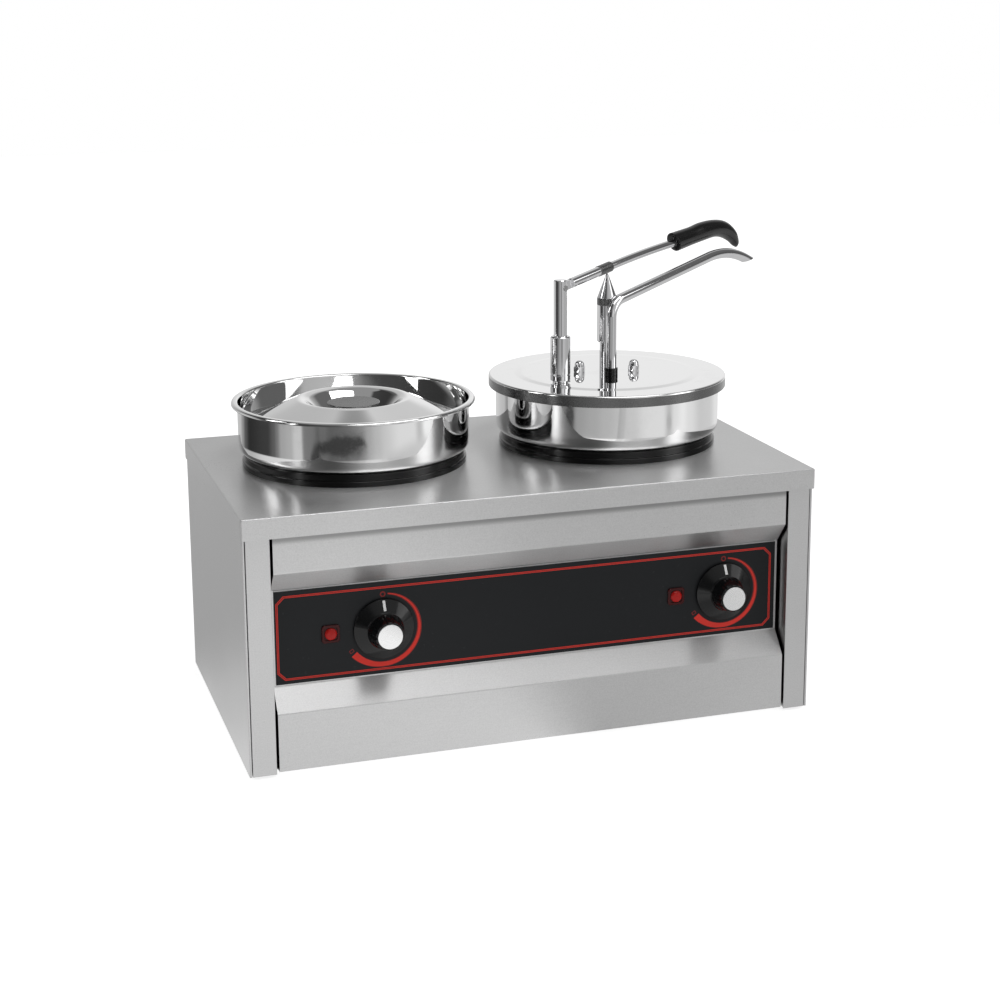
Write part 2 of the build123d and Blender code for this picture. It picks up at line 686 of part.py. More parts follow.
def lid_left_knob():
    """Flat disc on a stem, riveted through the dish."""
    seat = LID_DISH_Z + LID_T / 2
    disc = upright(0, 0, DISC_TOP - DISC_T, DISC_TOP, DISC_R)
    disc = fillet(disc.edges(), DISC_T / 3)
    disc += upright(0, 0, seat, DISC_TOP - DISC_T / 2, DISC_STEM_R)
    disc += upright(0, 0, seat - 2 * LID_T, seat + LID_T, RIVET_R)
    disc += upright(0, 0, seat - 3 * LID_T, seat - LID_T, RIVET_HEAD_R)
    return Pos(POT_X["left"], POT_Y, 0) * disc


# Pump lid: these pieces are modelled about the plunger with the lever along x
def pump_lid():
    """Flat lid with a skirt, a slightly raised middle and holes for the pump."""
    half = COVER_T / 2
    points = (
        (0, DECK_Z - half),
        (COVER_RAISE_R - COVER_RAISE, DECK_Z - half),
        (COVER_RAISE_R + COVER_RAISE, COVER_TOP - half),
        (COVER_R - half, COVER_TOP - half),
        (COVER_R - half, COVER_TOP - COVER_SKIRT),
    )
    lid = turned_sheet(points, (COVER_T, COVER_T, COVER_T), COVER_T)
    for x, y, r in deck_holes():
        lid -= upright(x, y, HEAD_Z, DECK_Z + OVER, r)
    return PUMP_PLACE * lid


def deck_holes():
    """Place and radius of each hole in the pump lid."""
    holes = [(0, 0, GUIDE_R), (RISER_U, RISER_V, RISER_R), (-POST_REACH, 0, SPIGOT_R)]
    return holes + [(x, y, STUD_R) for x, y in stud_places()]


def stud_places():
    """The two studs, on opposite sides of the plunger."""
    turn = math.radians(STUD_TURN)
    x = STUD_REACH * math.cos(turn)
    y = STUD_REACH * math.sin(turn)
    return [(x, y), (-x, -y)]


def pump_lid_seal():
    """Soft ring between the rim of the pot and the pump lid."""
    outer = RIM_R - LOOSE_FIT
    return PUMP_PLACE * pipe(0, 0, RIM_Z + REST_GAP, COVER_TOP - COVER_T, outer, outer - GASKET_W)


def pump_head():
    """Thick disc under the lid that holds guide, cylinder and riser."""
    head = upright(0, 0, HEAD_Z, HEAD_TOP, HEAD_R)
    head -= upright(0, 0, HEAD_Z - OVER, HEAD_Z + HEAD_H / 2, CYLINDER_R)
    head -= upright(0, 0, HEAD_Z, HEAD_TOP + OVER, GUIDE_R)
    head -= upright(RISER_U, RISER_V, HEAD_Z - OVER, HEAD_TOP + OVER, RISER_R)
    for x, y in stud_places():
        head -= upright(x, y, HEAD_Z - OVER, HEAD_TOP + OVER, STUD_R)
    return PUMP_PLACE * head


def head_studs():
    """Studs that clamp the pump head against the lid."""
    top = DECK_Z + NUT_TOP - NUT_DOME_R / 2
    return [PUMP_PLACE * upright(x, y, HEAD_Z, top, STUD_R) for x, y in stud_places()]


def acorn_nuts():
    """Dome nuts on the studs."""
    nuts = []
    for x, y in stud_places():
        nut = hexagon(x, y, DECK_Z, DECK_Z + NUT_H, NUT_AF)
        nut += upright(x, y, DECK_Z, DECK_Z + NUT_TOP - NUT_DOME_R, NUT_DOME_R)
        nut += Pos(x, y, DECK_Z + NUT_TOP - NUT_DOME_R) * Sphere(NUT_DOME_R)
        nut -= upright(x, y, DECK_Z - OVER, DECK_Z + NUT_TOP - NUT_DOME_R / 2, STUD_R)
        nuts.append(PUMP_PLACE * nut)
    return nuts


def guide_tube():
    """Fixed tube that the plunger runs on, with a thick foot as gland for the rod."""
    tube = pipe(0, 0, HEAD_Z + HEAD_H / 2, GUIDE_TOP, GUIDE_R, GUIDE_R - GUIDE_T)
    foot = pipe(0, 0, HEAD_Z + HEAD_H / 2, HEAD_Z + GLAND_H, GUIDE_R - GUIDE_T, ROD_R + RUNNING_FIT)
    return PUMP_PLACE * (tube + foot)


def pump_cylinder():
    """Tube from the pump head down to the valve block."""
    return PUMP_PLACE * pipe(0, 0, CYLINDER_BASE, HEAD_Z + HEAD_H / 2, CYLINDER_R, CYLINDER_BORE)


def valve_block():
    """Foot of the pump with the inlet valve below and the outlet valve beside it."""
    top = VALVE_TOP
    body = upright(0, 0, VALVE_Z, top, VALVE_R)
    body += upright(RISER_U, RISER_V, VALVE_Z, top, OUTLET_R)
    body -= upright(0, 0, CYLINDER_BASE, top + OVER, CYLINDER_R)
    body -= upright(0, 0, BALL_FLOOR, top, CYLINDER_BORE)
    body -= upright(0, 0, VALVE_Z - OVER, top, INLET_PORT_R)
    body -= upright(RISER_U, RISER_V, RISER_BASE, top + OVER, RISER_R)
    body -= upright(RISER_U, RISER_V, OUTLET_SEAT_Z, top, RISER_R - RISER_T / 2)
    body -= upright(RISER_U, RISER_V, BALL_FLOOR, top, OUTLET_PORT_R)
    turn = math.degrees(math.atan2(RISER_V, RISER_U))
    reach = math.hypot(RISER_U, RISER_V)
    duct_r = OUTLET_PORT_R - SEAM
    duct = Rot(0, 90, 0) * Cylinder(duct_r, reach - 2 * SEAM)
    body -= Rot(0, 0, turn) * Pos(reach / 2, 0, BALL_FLOOR + duct_r + 2 * SEAM) * duct
    for pin in stop_pin_shapes():
        body -= pin
    return PUMP_PLACE * body


def stop_pin_shapes():
    """Cross pins that stop the balls."""
    inlet = Rot(90, 0, 0) * Cylinder(STOP_PIN_R, 2 * (VALVE_R - STOP_PIN_INSET))
    outlet = Rot(0, 90, 0) * Cylinder(STOP_PIN_R, 2 * (OUTLET_R - STOP_PIN_INSET))
    return [Pos(0, 0, INLET_STOP_Z) * inlet, Pos(RISER_U, RISER_V, OUTLET_STOP_Z) * outlet]


def valve_stop_pins():
    """The two stop pins in their places."""
    return [PUMP_PLACE * pin for pin in stop_pin_shapes()]


def spout_tube():
    """Riser and spout in one bent tube, cut off slantwise at the mouth."""
    rise = math.radians(SPOUT_RISE)
    bend_u = BEND_R * (1 - math.sin(rise))
    bend_z = BEND_Z + BEND_R * math.cos(rise)
    run_z = bend_z + (SPOUT_RUN - bend_u) * math.tan(rise)
    riser = Line((0, 0, RISER_BASE), (0, 0, BEND_Z))
    bend = TangentArc((0, 0, BEND_Z), (bend_u, 0, bend_z), tangent=(0, 0, 1))
    run = Line(bend @ 1, (SPOUT_RUN, 0, run_z))
    drop = math.radians(SPOUT_DROP)
    drop_u = SPOUT_RUN + SPOUT_DROP_R * (math.sin(rise) + math.sin(drop))
    drop_z = run_z + SPOUT_DROP_R * (math.cos(drop) - math.cos(rise))
    turn_down = TangentArc(run @ 1, (drop_u, 0, drop_z), tangent=run % 1)
    end = Line(turn_down @ 1, turn_down @ 1 + (turn_down % 1) * SPOUT_END)
    path = Wire([*riser.edges(), *bend.edges(), *run.edges(), *turn_down.edges(), *end.edges()])
    start = Plane((0, 0, RISER_BASE))
    tube = sweep(start * Circle(RISER_R), path) - sweep(start * Circle(RISER_R - RISER_T), path)
    cutter = Box(CUT_L, CUT_L, CUT_L, align=(Align.CENTER, Align.CENTER, Align.MAX))
    mouth = turn_down @ 1 + (turn_down % 1) * MOUTH_OUT
    cutter = Pos(mouth.X, 0, mouth.Z) * Rot(0, -MOUTH_TILT, 0) * cutter
    return PUMP_PLACE * Pos(RISER_U, RISER_V, 0) * (tube - cutter)


def riser_seal():
    """Black sleeve round the riser where it leaves the lid."""
    sleeve = pipe(RISER_U, RISER_V, DECK_Z, DECK_Z + SLEEVE_SEAL_H, SLEEVE_SEAL_R, RISER_R)
    groove = pipe(
        RISER_U,
        RISER_V,
        DECK_Z + SLEEVE_SEAL_H / 2,
        DECK_Z + SLEEVE_SEAL_H / 2 + SLEEVE_GROOVE,
        SLEEVE_SEAL_R + OVER,
        SLEEVE_SEAL_R - SLEEVE_GROOVE / 2,
    )
    return PUMP_PLACE * (sleeve - groove)


# Lever post
def post_spigot():
    """Threaded spigot through the lid, with a collar above it."""
    spigot = upright(-POST_REACH, 0, HEAD_TOP - SPIGOT_TAIL, BAR_BASE, SPIGOT_R)
    spigot += upright(-POST_REACH, 0, DECK_Z, DECK_Z + SLEEVE_GAP, SPIGOT_COLLAR_R)
    return PUMP_PLACE * (spigot - lock_pin_shape())


def lock_pin_shape():
    """Small pin across the collar of the spigot, standing out towards the spout."""
    length = LOCK_PIN_OUT + LOCK_PIN_IN
    middle = -POST_REACH + (LOCK_PIN_OUT - LOCK_PIN_IN) / 2
    return Pos(middle, 0, DECK_Z + SLEEVE_GAP / 2) * Rot(0, 90, 0) * Cylinder(LOCK_PIN_R, length)


def lock_pin():
    """The pin in its place."""
    return PUMP_PLACE * lock_pin_shape()


def post_sleeve():
    """Thick lower part of the lever post with a groove round it."""
    sleeve = pipe(-POST_REACH, 0, DECK_Z + SLEEVE_GAP, SLEEVE_TOP, SLEEVE_R, BAR_R)
    groove_top = SLEEVE_GROOVE_Z + SLEEVE_GROOVE
    groove_floor = SLEEVE_R - SLEEVE_GROOVE
    sleeve -= pipe(-POST_REACH, 0, SLEEVE_GROOVE_Z, groove_top, SLEEVE_R + OVER, groove_floor)
    rim = sleeve.edges().filter_by(GeomType.CIRCLE).sort_by(Axis.Z)[-2:].sort_by(SortBy.RADIUS)[-1]
    sleeve = chamfer(rim, SLEEVE_EDGE)
    core = pipe(-POST_REACH, 0, DECK_Z + SLEEVE_GAP, BAR_BASE, BAR_R, SPIGOT_R)
    return PUMP_PLACE * (sleeve + core)


def post_bar():
    """Upper part of the post with the slot that holds the lever."""
    bar = upright(-POST_REACH, 0, BAR_BASE, BAR_TOP, BAR_R)
    bar = chamfer(bar.faces().sort_by(Axis.Z)[-1].edges(), SLEEVE_GROOVE)
    slot = block(
        (-POST_REACH - TONGUE_R - LOOSE_FIT, -POST_REACH + BAR_R + OVER),
        (-SLOT_W / 2, SLOT_W / 2),
        (BAR_TOP - SLOT_CAP - SLOT_H, BAR_TOP - SLOT_CAP),
    )
    return PUMP_PLACE * (bar - slot - pivot_shape())


def pivot_shape():
    """Pin across the slot with a flat head on the front of the post."""
    pin = Cylinder(PIVOT_R, 2 * BAR_R)
    pin += Pos(0, 0, BAR_R - PIVOT_HEAD_T / 2) * Cylinder(PIVOT_HEAD_R, PIVOT_HEAD_T * 2)
    return Pos(-POST_REACH, 0, PIVOT_Z) * Rot(90, 0, 0) * pin


def lever_pivot():
    """The pivot pin in its place."""
    return PUMP_PLACE * pivot_shape()


def post_nut():
    """Nut under the lid that holds the spigot."""
    nut = hexagon(-POST_REACH, 0, HEAD_TOP - POST_NUT_H, HEAD_TOP, POST_NUT_AF)
    nut -= upright(-POST_REACH, 0, HEAD_TOP - POST_NUT_H - OVER, HEAD_TOP + OVER, SPIGOT_R)
    return PUMP_PLACE * nut


# Lever, modelled about its pivot with the arm along x
def lever_arm():
    """Round arm with a flat tongue that turns in the slot of the post."""
    tongue = Rot(90, 0, 0) * Cylinder(TONGUE_R, TONGUE_T)
    tongue += block((0, ARM_START + OVER), (-TONGUE_T / 2, TONGUE_T / 2), (-TONGUE_R, TONGUE_R))
    arm = Pos((ARM_START + ARM_END) / 2, 0, 0) * Rot(0, 90, 0) * Cylinder(ARM_R, ARM_END - ARM_START)
    arm += tongue
    arm -= Rot(90, 0, 0) * Cylinder(PIVOT_R + RUNNING_FIT, 2 * BAR_R)
    arm -= Pos(ARM_END, 0, 0) * Rot(0, 90, 0) * Cylinder(LEVER_ROD_R, 2 * LEVER_ROD_IN)
    return LEVER_PLACE * arm


def lever_collar():
    """Collar on the end of the arm; its underside presses the plunger."""
    length = COLLAR_END - COLLAR_START
    collar = Pos((COLLAR_START + COLLAR_END) / 2, 0, 0) * Rot(0, 90, 0) * Cylinder(COLLAR_R, length)
    collar = chamfer(collar.edges().filter_by(GeomType.CIRCLE), (COLLAR_R - ARM_R) / 2)
    collar -= Pos(COLLAR_START, 0, 0) * Rot(0, 90, 0) * Cylinder(ARM_R, 2 * (ARM_END - COLLAR_START))
    collar -= Pos(COLLAR_END, 0, 0) * Rot(0, 90, 0) * Cylinder(LEVER_ROD_R, CUT_L)
    return LEVER_PLACE * collar


def lever_rod_shape():
    """Rod that runs straight out of the arm and then droops in a wide bend."""
    turn = math.radians(LEVER_ROD_TURN)
    start = Line((ARM_END - LEVER_ROD_IN, 0, 0), (COLLAR_END, 0, 0))
    end = (COLLAR_END + LEVER_ROD_BEND * math.sin(turn), 0, -LEVER_ROD_BEND * (1 - math.cos(turn)))
    droop = TangentArc(start @ 1, end, tangent=(1, 0, 0))
    path = Wire([*start.edges(), *droop.edges()])
    return sweep(Plane(start @ 0, z_dir=(1, 0, 0)) * Circle(LEVER_ROD_R), path)


def lever_rod():
    """The rod in its place."""
    return LEVER_PLACE * lever_rod_shape()


def lever_grip():
    """Beak-shaped grip, lofted through ellipses along a curve that bends down."""
    sections = []
    for along, height, tilt, half_height, half_width in GRIP_STATIONS:
        place = Pos(along, 0, height) * Rot(0, -tilt, 0) * Rot(0, 90, 0)
        sections.append(place * Ellipse(half_height, half_width))
    return LEVER_PLACE * (loft(sections) - lever_rod_shape())


# Plunger
def plunger_cone():
    """Cone that the lever presses, with a spigot inside the band below it."""
    slope = (BAND_R - TIP_R) / (CONE_H - TIP_R)
    cone = turned(
        (
            (0, CASE_TOP),
            (CASE_R - CASE_T, CASE_TOP),
            (CASE_R - CASE_T, BAND_TOP),
            (CASE_R, BAND_TOP),
            (TIP_R, BAND_TOP + (CASE_R - TIP_R) / slope),
            (TIP_R / 2, TIP_Z),
            (0, TIP_Z),
        )
    )
    return PUMP_PLACE * (cone - upright(0, 0, CASE_TOP - OVER, BAND_TOP, ROD_R))


def plunger_band():
    """Dull band between cone and outer tube."""
    return PUMP_PLACE * pipe(0, 0, CASE_TOP, BAND_TOP, BAND_R, CASE_R - CASE_T)


def plunger_case():
    """Outer tube of the plunger with a bush in its lower end that runs on the guide."""
    tube = pipe(0, 0, CASE_BASE, CASE_TOP, CASE_R, CASE_R - CASE_T)
    bush = pipe(0, 0, CASE_BASE, CASE_BASE + CASE_BUSH_H, CASE_R - CASE_T, GUIDE_R + RUNNING_FIT)
    return PUMP_PLACE * (tube + bush)


def plunger_rod():
    """Rod from the cone down to the piston."""
    return PUMP_PLACE * upright(0, 0, PISTON_BASE, BAND_TOP, ROD_R)


def piston():
    """Piston with a groove for its seal."""
    body = pipe(0, 0, PISTON_BASE, PISTON_BASE + PISTON_H, CYLINDER_BORE - RUNNING_FIT, ROD_R)
    middle = PISTON_BASE + PISTON_H / 2
    half = PISTON_SEAL_H / 2
    bottom = CYLINDER_BORE - RUNNING_FIT - PISTON_GROOVE
    body -= pipe(0, 0, middle - half, middle + half, CYLINDER_R, bottom)
    return PUMP_PLACE * body


def piston_seal():
    """Seal ring in the groove of the piston."""
    middle = PISTON_BASE + PISTON_H / 2
    half = PISTON_SEAL_H / 2
    outer = CYLINDER_BORE - RUNNING_FIT / 2
    bottom = CYLINDER_BORE - RUNNING_FIT - PISTON_GROOVE
    return PUMP_PLACE * pipe(0, 0, middle - half, middle + half, outer, bottom)


def spring_point(turns):
    """Point on the middle line of the spring after so many turns."""
    angle = 2 * math.pi * turns
    z = SPRING_BASE + (SPRING_TOP - SPRING_BASE) * turns / SPRING_TURNS
    return Vector(SPRING_R * math.cos(angle), SPRING_R * math.sin(angle), z)


def spring_tangent(turns):
    """Unit tangent of the spring's middle line there."""
    angle = 2 * math.pi * turns
    climb = (SPRING_TOP - SPRING_BASE) / (2 * math.pi * SPRING_TURNS * SPRING_R)
    return Vector(-math.sin(angle), math.cos(angle), climb).normalized()


def biarc(start, end, start_tangent, end_tangent):
    """Two arcs that join two points and have the given tangents there."""
    chord = end - start
    bend = 1 - start_tangent.dot(end_tangent)
    both = chord.dot(start_tangent + end_tangent)
    reach = (math.sqrt(both**2 + 2 * bend * chord.dot(chord)) - both) / (2 * bend)
    joint = (start + end + (start_tangent - end_tangent) * reach) * 0.5
    first = Edge.make_tangent_arc(start, start_tangent, joint)
    second = Edge.make_tangent_arc(end, end_tangent * -1, joint)
    return [first, second]


def return_spring():
    """Spring inside the guide tube that lifts the plunger."""
    edges = []
    for half_turn in range(2 * SPRING_TURNS):
        t0 = half_turn / 2
        t1 = t0 + 0.5
        edges += biarc(spring_point(t0), spring_point(t1), spring_tangent(t0), spring_tangent(t1))
    start = Plane(spring_point(0), z_dir=spring_tangent(0))
    pitch = (spring_point(1) - spring_point(0)).Z
    print("least gap between the turns of the spring", round(pitch - 2 * SPRING_WIRE_R, 2))
    return PUMP_PLACE * sweep(start * Circle(SPRING_WIRE_R), Wire(edges))


def ball(x, y, z, r):
    """Valve ball."""
    return PUMP_PLACE * Pos(x, y, z) * Sphere(r)


PIECES = {
    "top_plate": top_plate(),
    "side_panel_left": side_panel(-1),
    "side_panel_right": side_panel(1),
    "corner_posts": corner_posts(),
    "fascia": fascia(),
    "control_plate": control_plate(),
    "base_pan": base_pan(),
    "feet": feet(),
    "back_panel": back_panel(),
    "back_panel_screws": back_panel_screws(),
    "terminal_block": terminal_block(),
    "cable_gland": cable_gland(),
    "well_left": well("left"),
    "well_right": well("right"),
    "seal_rings": seal_rings(),
    "heating_elements": heating_elements(),
    "thermostats": thermostats(),
    "indicator_bezels": indicator_bezels(),
    "indicator_lenses": indicator_lenses(),
    "knob_left": knob("left"),
    "knob_left_cap": knob_cap("left"),
    "knob_left_shaft": knob_shaft("left"),
    "knob_right": knob("right"),
    "knob_right_cap": knob_cap("right"),
    "knob_right_shaft": knob_shaft("right"),
    "pot_left": pot("left"),
    "lid_left": lid_left(),
    "lid_left_knob": lid_left_knob(),
    "pot_right": pot("right"),
    "pump_lid": pump_lid(),
    "pump_lid_seal": pump_lid_seal(),
    "pump_head": pump_head(),
    "head_studs": head_studs(),
    "acorn_nuts": acorn_nuts(),
    "guide_tube": guide_tube(),
    "pump_cylinder": pump_cylinder(),
    "valve_block": valve_block(),
    "valve_stop_pins": valve_stop_pins(),
    "spout_tube": spout_tube(),
    "riser_seal": riser_seal(),
    "post_spigot": post_spigot(),
    "lock_pin": lock_pin(),
    "post_sleeve": post_sleeve(),
    "post_bar": post_bar(),
    "post_nut": post_nut(),
    "lever_pivot": lever_pivot(),
    "lever_arm": lever_arm(),
    "lever_collar": lever_collar(),
    "lever_rod": lever_rod(),
    "lever_grip": lever_grip(),
    "plunger_cone": plunger_cone(),
    "plunger_band": plunger_band(),
    "plunger_case": plunger_case(),
    "plunger_rod": plunger_rod(),
    "piston": piston(),
    "piston_seal": piston_seal(),
    "return_spring": return_spring(),
    "inlet_ball": ball(0, 0, INLET_BALL_Z, INLET_BALL_R),
    "outlet_ball": ball(RISER_U, RISER_V, OUTLET_BALL_Z, OUTLET_BALL_R),
}

os.makedirs("parts", exist_ok=True)
for name, piece in PIECES.items():
    solids = piece if isinstance(piece, list) else [piece]
    placed = [Pos(STAND_X, STAND_Y, 0) * solid for solid in solids]
    export_step(placed[0] if len(placed) == 1 else Compound(children=placed), f"parts/{name}.step")
print(len(PIECES), "pieces written")
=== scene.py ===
# %% [markdown]
# # Dressing a two-pot sauce warmer
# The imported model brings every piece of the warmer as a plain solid, in place. This lesson gives
# the solids their finishes, makes finer meshes for the pieces that mirror the studio, and prints
# the red lines on the black control plate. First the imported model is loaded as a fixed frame.

# %% Load the frame
import json
import math
import bmesh
import bpy
import numpy as np
from mathutils import Matrix, Vector


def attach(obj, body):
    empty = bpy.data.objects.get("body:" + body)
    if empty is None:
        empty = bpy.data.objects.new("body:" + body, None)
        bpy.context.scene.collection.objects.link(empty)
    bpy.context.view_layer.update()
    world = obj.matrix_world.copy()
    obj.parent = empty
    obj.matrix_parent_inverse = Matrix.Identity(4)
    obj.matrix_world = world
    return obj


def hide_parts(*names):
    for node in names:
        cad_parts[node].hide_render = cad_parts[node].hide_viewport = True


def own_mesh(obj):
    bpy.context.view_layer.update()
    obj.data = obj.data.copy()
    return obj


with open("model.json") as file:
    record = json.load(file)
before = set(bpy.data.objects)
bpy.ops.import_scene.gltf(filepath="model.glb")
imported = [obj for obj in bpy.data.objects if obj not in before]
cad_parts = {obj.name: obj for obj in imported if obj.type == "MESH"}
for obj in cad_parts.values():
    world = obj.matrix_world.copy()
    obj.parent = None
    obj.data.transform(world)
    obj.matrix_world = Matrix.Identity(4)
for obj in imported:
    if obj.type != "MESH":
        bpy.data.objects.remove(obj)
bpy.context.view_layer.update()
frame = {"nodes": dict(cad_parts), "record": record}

# %% [markdown]
# ## Camera
# The camera stands left of the warmer and looks down on it. Its place, its turn and its focal
# length come from the corners of the housing and the rims of the pots in the photograph. The
# vertical shift keeps the uprights of the housing as parallel as they are there.

# %% Camera
CAMERA_PLACE = (-0.53918, -1.64968, 0.65898)
CAMERA_YAW = 17.7865      # degrees to the right of +Y
CAMERA_PITCH = 12.3803    # degrees downwards
CAMERA_ROLL = -0.3190
SENSOR_WIDTH = 36.0       # millimetres
FOCAL_LENGTH = 68.869
CAMERA_SHIFT = (-0.00783, -0.1)
camera_data = bpy.data.cameras.new("camera")
camera_data.lens, camera_data.sensor_width = FOCAL_LENGTH, SENSOR_WIDTH
camera_data.shift_x, camera_data.shift_y = CAMERA_SHIFT
camera = bpy.data.objects.new("camera", camera_data)
camera.matrix_world = (
    Matrix.Translation(CAMERA_PLACE)
    @ Matrix.Rotation(math.radians(-CAMERA_YAW), 4, "Z")
    @ Matrix.Rotation(math.radians(90 - CAMERA_PITCH), 4, "X")
    @ Matrix.Rotation(math.radians(CAMERA_ROLL), 4, "Z")
)
bpy.context.scene.collection.objects.link(camera)
bpy.context.scene.camera = camera
bpy.context.scene.view_settings.view_transform = "Standard"
print("camera at", CAMERA_PLACE)

# %% [markdown]
# ## Node helpers
# Every finish is a small graph of nodes. It could be drawn by hand in the shader editor. These
# helpers add a node and join its sockets instead, so that a material below reads as a list of
# what feeds what.


# %% Node helpers
def add(tree, kind, **values):
    """One node; keyword values set its properties."""
    node = tree.nodes.new(kind)
    for key, value in values.items():
        setattr(node, key, value)
    return node


def feed(tree, source, target):
    """Joins an output socket to an input socket, or sets the input to a plain value."""
    if isinstance(source, bpy.types.NodeSocket):
        tree.links.new(source, target)
    else:
        target.default_value = source


def math_node(tree, operation, a, b=0.5):
    """Arithmetic on two values."""
    node = add(tree, "ShaderNodeMath", operation=operation)
    feed(tree, a, node.inputs[0])
    feed(tree, b, node.inputs[1])
    return node.outputs[0]


def added(tree, a, b):
    """Sum of two values."""
    return math_node(tree, "ADD", a, b)


def times(tree, a, b):
    """Product of two values."""
    return math_node(tree, "MULTIPLY", a, b)


def blend_colours(tree, share, a, b, mode="MIX"):
    """Mix of two colours by a share from 0 to 1."""
    node = add(tree, "ShaderNodeMix", data_type="RGBA", blend_type=mode)
    feed(tree, share, node.inputs[0])
    feed(tree, a, node.inputs[6])
    feed(tree, b, node.inputs[7])
    return node.outputs[2]


def spread(tree, value, low, high, to_low=0.0, to_high=1.0, smooth=False):
    """Maps a range of values to another one."""
    kind = "SMOOTHSTEP" if smooth else "LINEAR"
    node = add(tree, "ShaderNodeMapRange", interpolation_type=kind)
    for index, item in enumerate((value, low, high, to_low, to_high)):
        feed(tree, item, node.inputs[index])
    return node.outputs[0]


def vector_math(tree, operation, a, b):
    """Arithmetic on two vectors."""
    node = add(tree, "ShaderNodeVectorMath", operation=operation)
    feed(tree, a, node.inputs[0])
    feed(tree, b, node.inputs[1])
    return node.outputs["Value"] if operation == "DISTANCE" else node.outputs["Vector"]


def split(tree, vector):
    """The three parts of a vector, by the names X, Y and Z."""
    parts = add(tree, "ShaderNodeSeparateXYZ")
    feed(tree, vector, parts.inputs[0])
    return parts.outputs


def noise(tree, vector, scale, detail=2.0, roughness=0.5):
    """Value of a noise texture, about 0.5 on average."""
    node = add(tree, "ShaderNodeTexNoise")
    feed(tree, vector, node.inputs["Vector"])
    for name, value in (("Scale", scale), ("Detail", detail), ("Roughness", roughness)):
        feed(tree, value, node.inputs[name])
    return node.outputs[0]


NOISE_LOW, NOISE_HIGH = 0.3, 0.7     # nearly all values of a noise lie between these


def vary(tree, value, low, high):
    """A noise mapped from its usual values to a range."""
    return spread(tree, value, NOISE_LOW, NOISE_HIGH, low, high)


def grey(value):
    """An opaque grey."""
    return (value, value, value, 1.0)


def ramp(tree, value, stops):
    """Tone that runs through (place, grey) stops, with soft joints between them."""
    node = add(tree, "ShaderNodeValToRGB")
    node.color_ramp.interpolation = "EASE"
    marks = node.color_ramp.elements
    for index, (place, tone) in enumerate(stops):
        mark = marks[index] if index < 2 else marks.new(place)
        mark.position, mark.color = place, grey(tone)
    feed(tree, value, node.inputs[0])
    return node.outputs[0]


def relief(tree, height, distance):
    """Bump from a height."""
    bump = add(tree, "ShaderNodeBump")
    for name, value in (("Strength", 1.0), ("Distance", distance), ("Height", height)):
        feed(tree, value, bump.inputs[name])
    return bump.outputs[0]


# %% [markdown]
# ## Effects that several finishes share
# Brushed sheet, mirror polish and moulded plastic differ mostly in their fine relief. Each effect
# could be copied into every material. As a node group it is built once: it puts out a tone, a
# roughness and a normal, and each material places it with values of its own.


# %% Group builder
def effect(name, inputs, build):
    """A node group with inputs {name: default}; build returns its outputs by name."""
    group = bpy.data.node_groups.new(name, "ShaderNodeTree")
    for key, value in inputs.items():
        kind = "NodeSocketVector" if isinstance(value, tuple) else "NodeSocketFloat"
        socket = group.interface.new_socket(key, in_out="INPUT", socket_type=kind)
        socket.default_value = value
    start = group.nodes.new("NodeGroupInput")
    outputs = build(group, start.outputs)
    for key in outputs:
        kind = "NodeSocketVector" if key == "Normal" else "NodeSocketFloat"
        group.interface.new_socket(key, in_out="OUTPUT", socket_type=kind)
    end = group.nodes.new("NodeGroupOutput")
    for key, socket in outputs.items():
        group.links.new(socket, end.inputs[key])
    print("effect:", name)
    return group


# %% [markdown]
# ### Satin grain
# The housing is brushed sheet: short level scratches, a fine speckle between them and broad
# patches where it was handled. Scratches alone, at the size they have, flicker in a small
# picture, so the speckle carries most of the relief.


# %% Satin grain
def build_satin(tree, given):
    """Fine speckle, short scratches along one axis and broad patches of handling."""
    place = add(tree, "ShaderNodeTexCoord").outputs["Object"]
    speckle = noise(tree, place, 900.0, 3.0, 0.7)
    scratch = noise(tree, vector_math(tree, "MULTIPLY", place, given["Stretch"]), 1.0, 4.0, 0.65)
    patch = noise(tree, place, 9.0, 3.0, 0.55)
    grain = added(tree, times(tree, speckle, 0.8), times(tree, scratch, 0.2))
    tone = added(tree, vary(tree, grain, 0.9, 1.08), vary(tree, patch, -0.03, 0.03))
    uneven = added(tree, vary(tree, grain, -0.05, 0.05), vary(tree, patch, -0.03, 0.03))
    rough = added(tree, given["Roughness"], uneven)
    return {"Tone": tone, "Roughness": rough, "Normal": relief(tree, grain, given["Depth"])}


satin_inputs = {"Stretch": (60.0, 900.0, 900.0), "Roughness": 0.35, "Depth": 0.00002}
satin_grain = effect("satin grain", satin_inputs, build_satin)

# %% [markdown]
# ### Mirror polish
# Pots, lids and tubes are polished. What tells polished sheet from a perfect mirror is a very
# shallow wave from the press, faint marks of wiping and a few smudges, so the effect has those.


# %% Mirror polish
def build_polish(tree, given):
    """Very shallow waves of the pressed sheet, faint wiping marks and a few smudges."""
    place = add(tree, "ShaderNodeTexCoord").outputs["Object"]
    waves = noise(tree, place, given["Wave scale"], 1.0, 0.4)
    wiping = noise(tree, place, 700.0, 3.0, 0.6)
    smudge = noise(tree, place, 30.0, 4.0, 0.6)
    rough = added(tree, given["Roughness"], spread(tree, smudge, 0.5, 0.72, 0.0, 0.05, True))
    rough = added(tree, rough, spread(tree, wiping, 0.45, 0.75, 0.0, 0.03))
    tone = math_node(tree, "SUBTRACT", 1.0, spread(tree, smudge, 0.55, 0.8, 0.0, 0.05, True))
    return {"Tone": tone, "Roughness": rough, "Normal": relief(tree, waves, given["Depth"])}


polish = effect("mirror polish", {"Wave scale": 28.0, "Roughness": 0.03, "Depth": 0.0002}, build_polish)

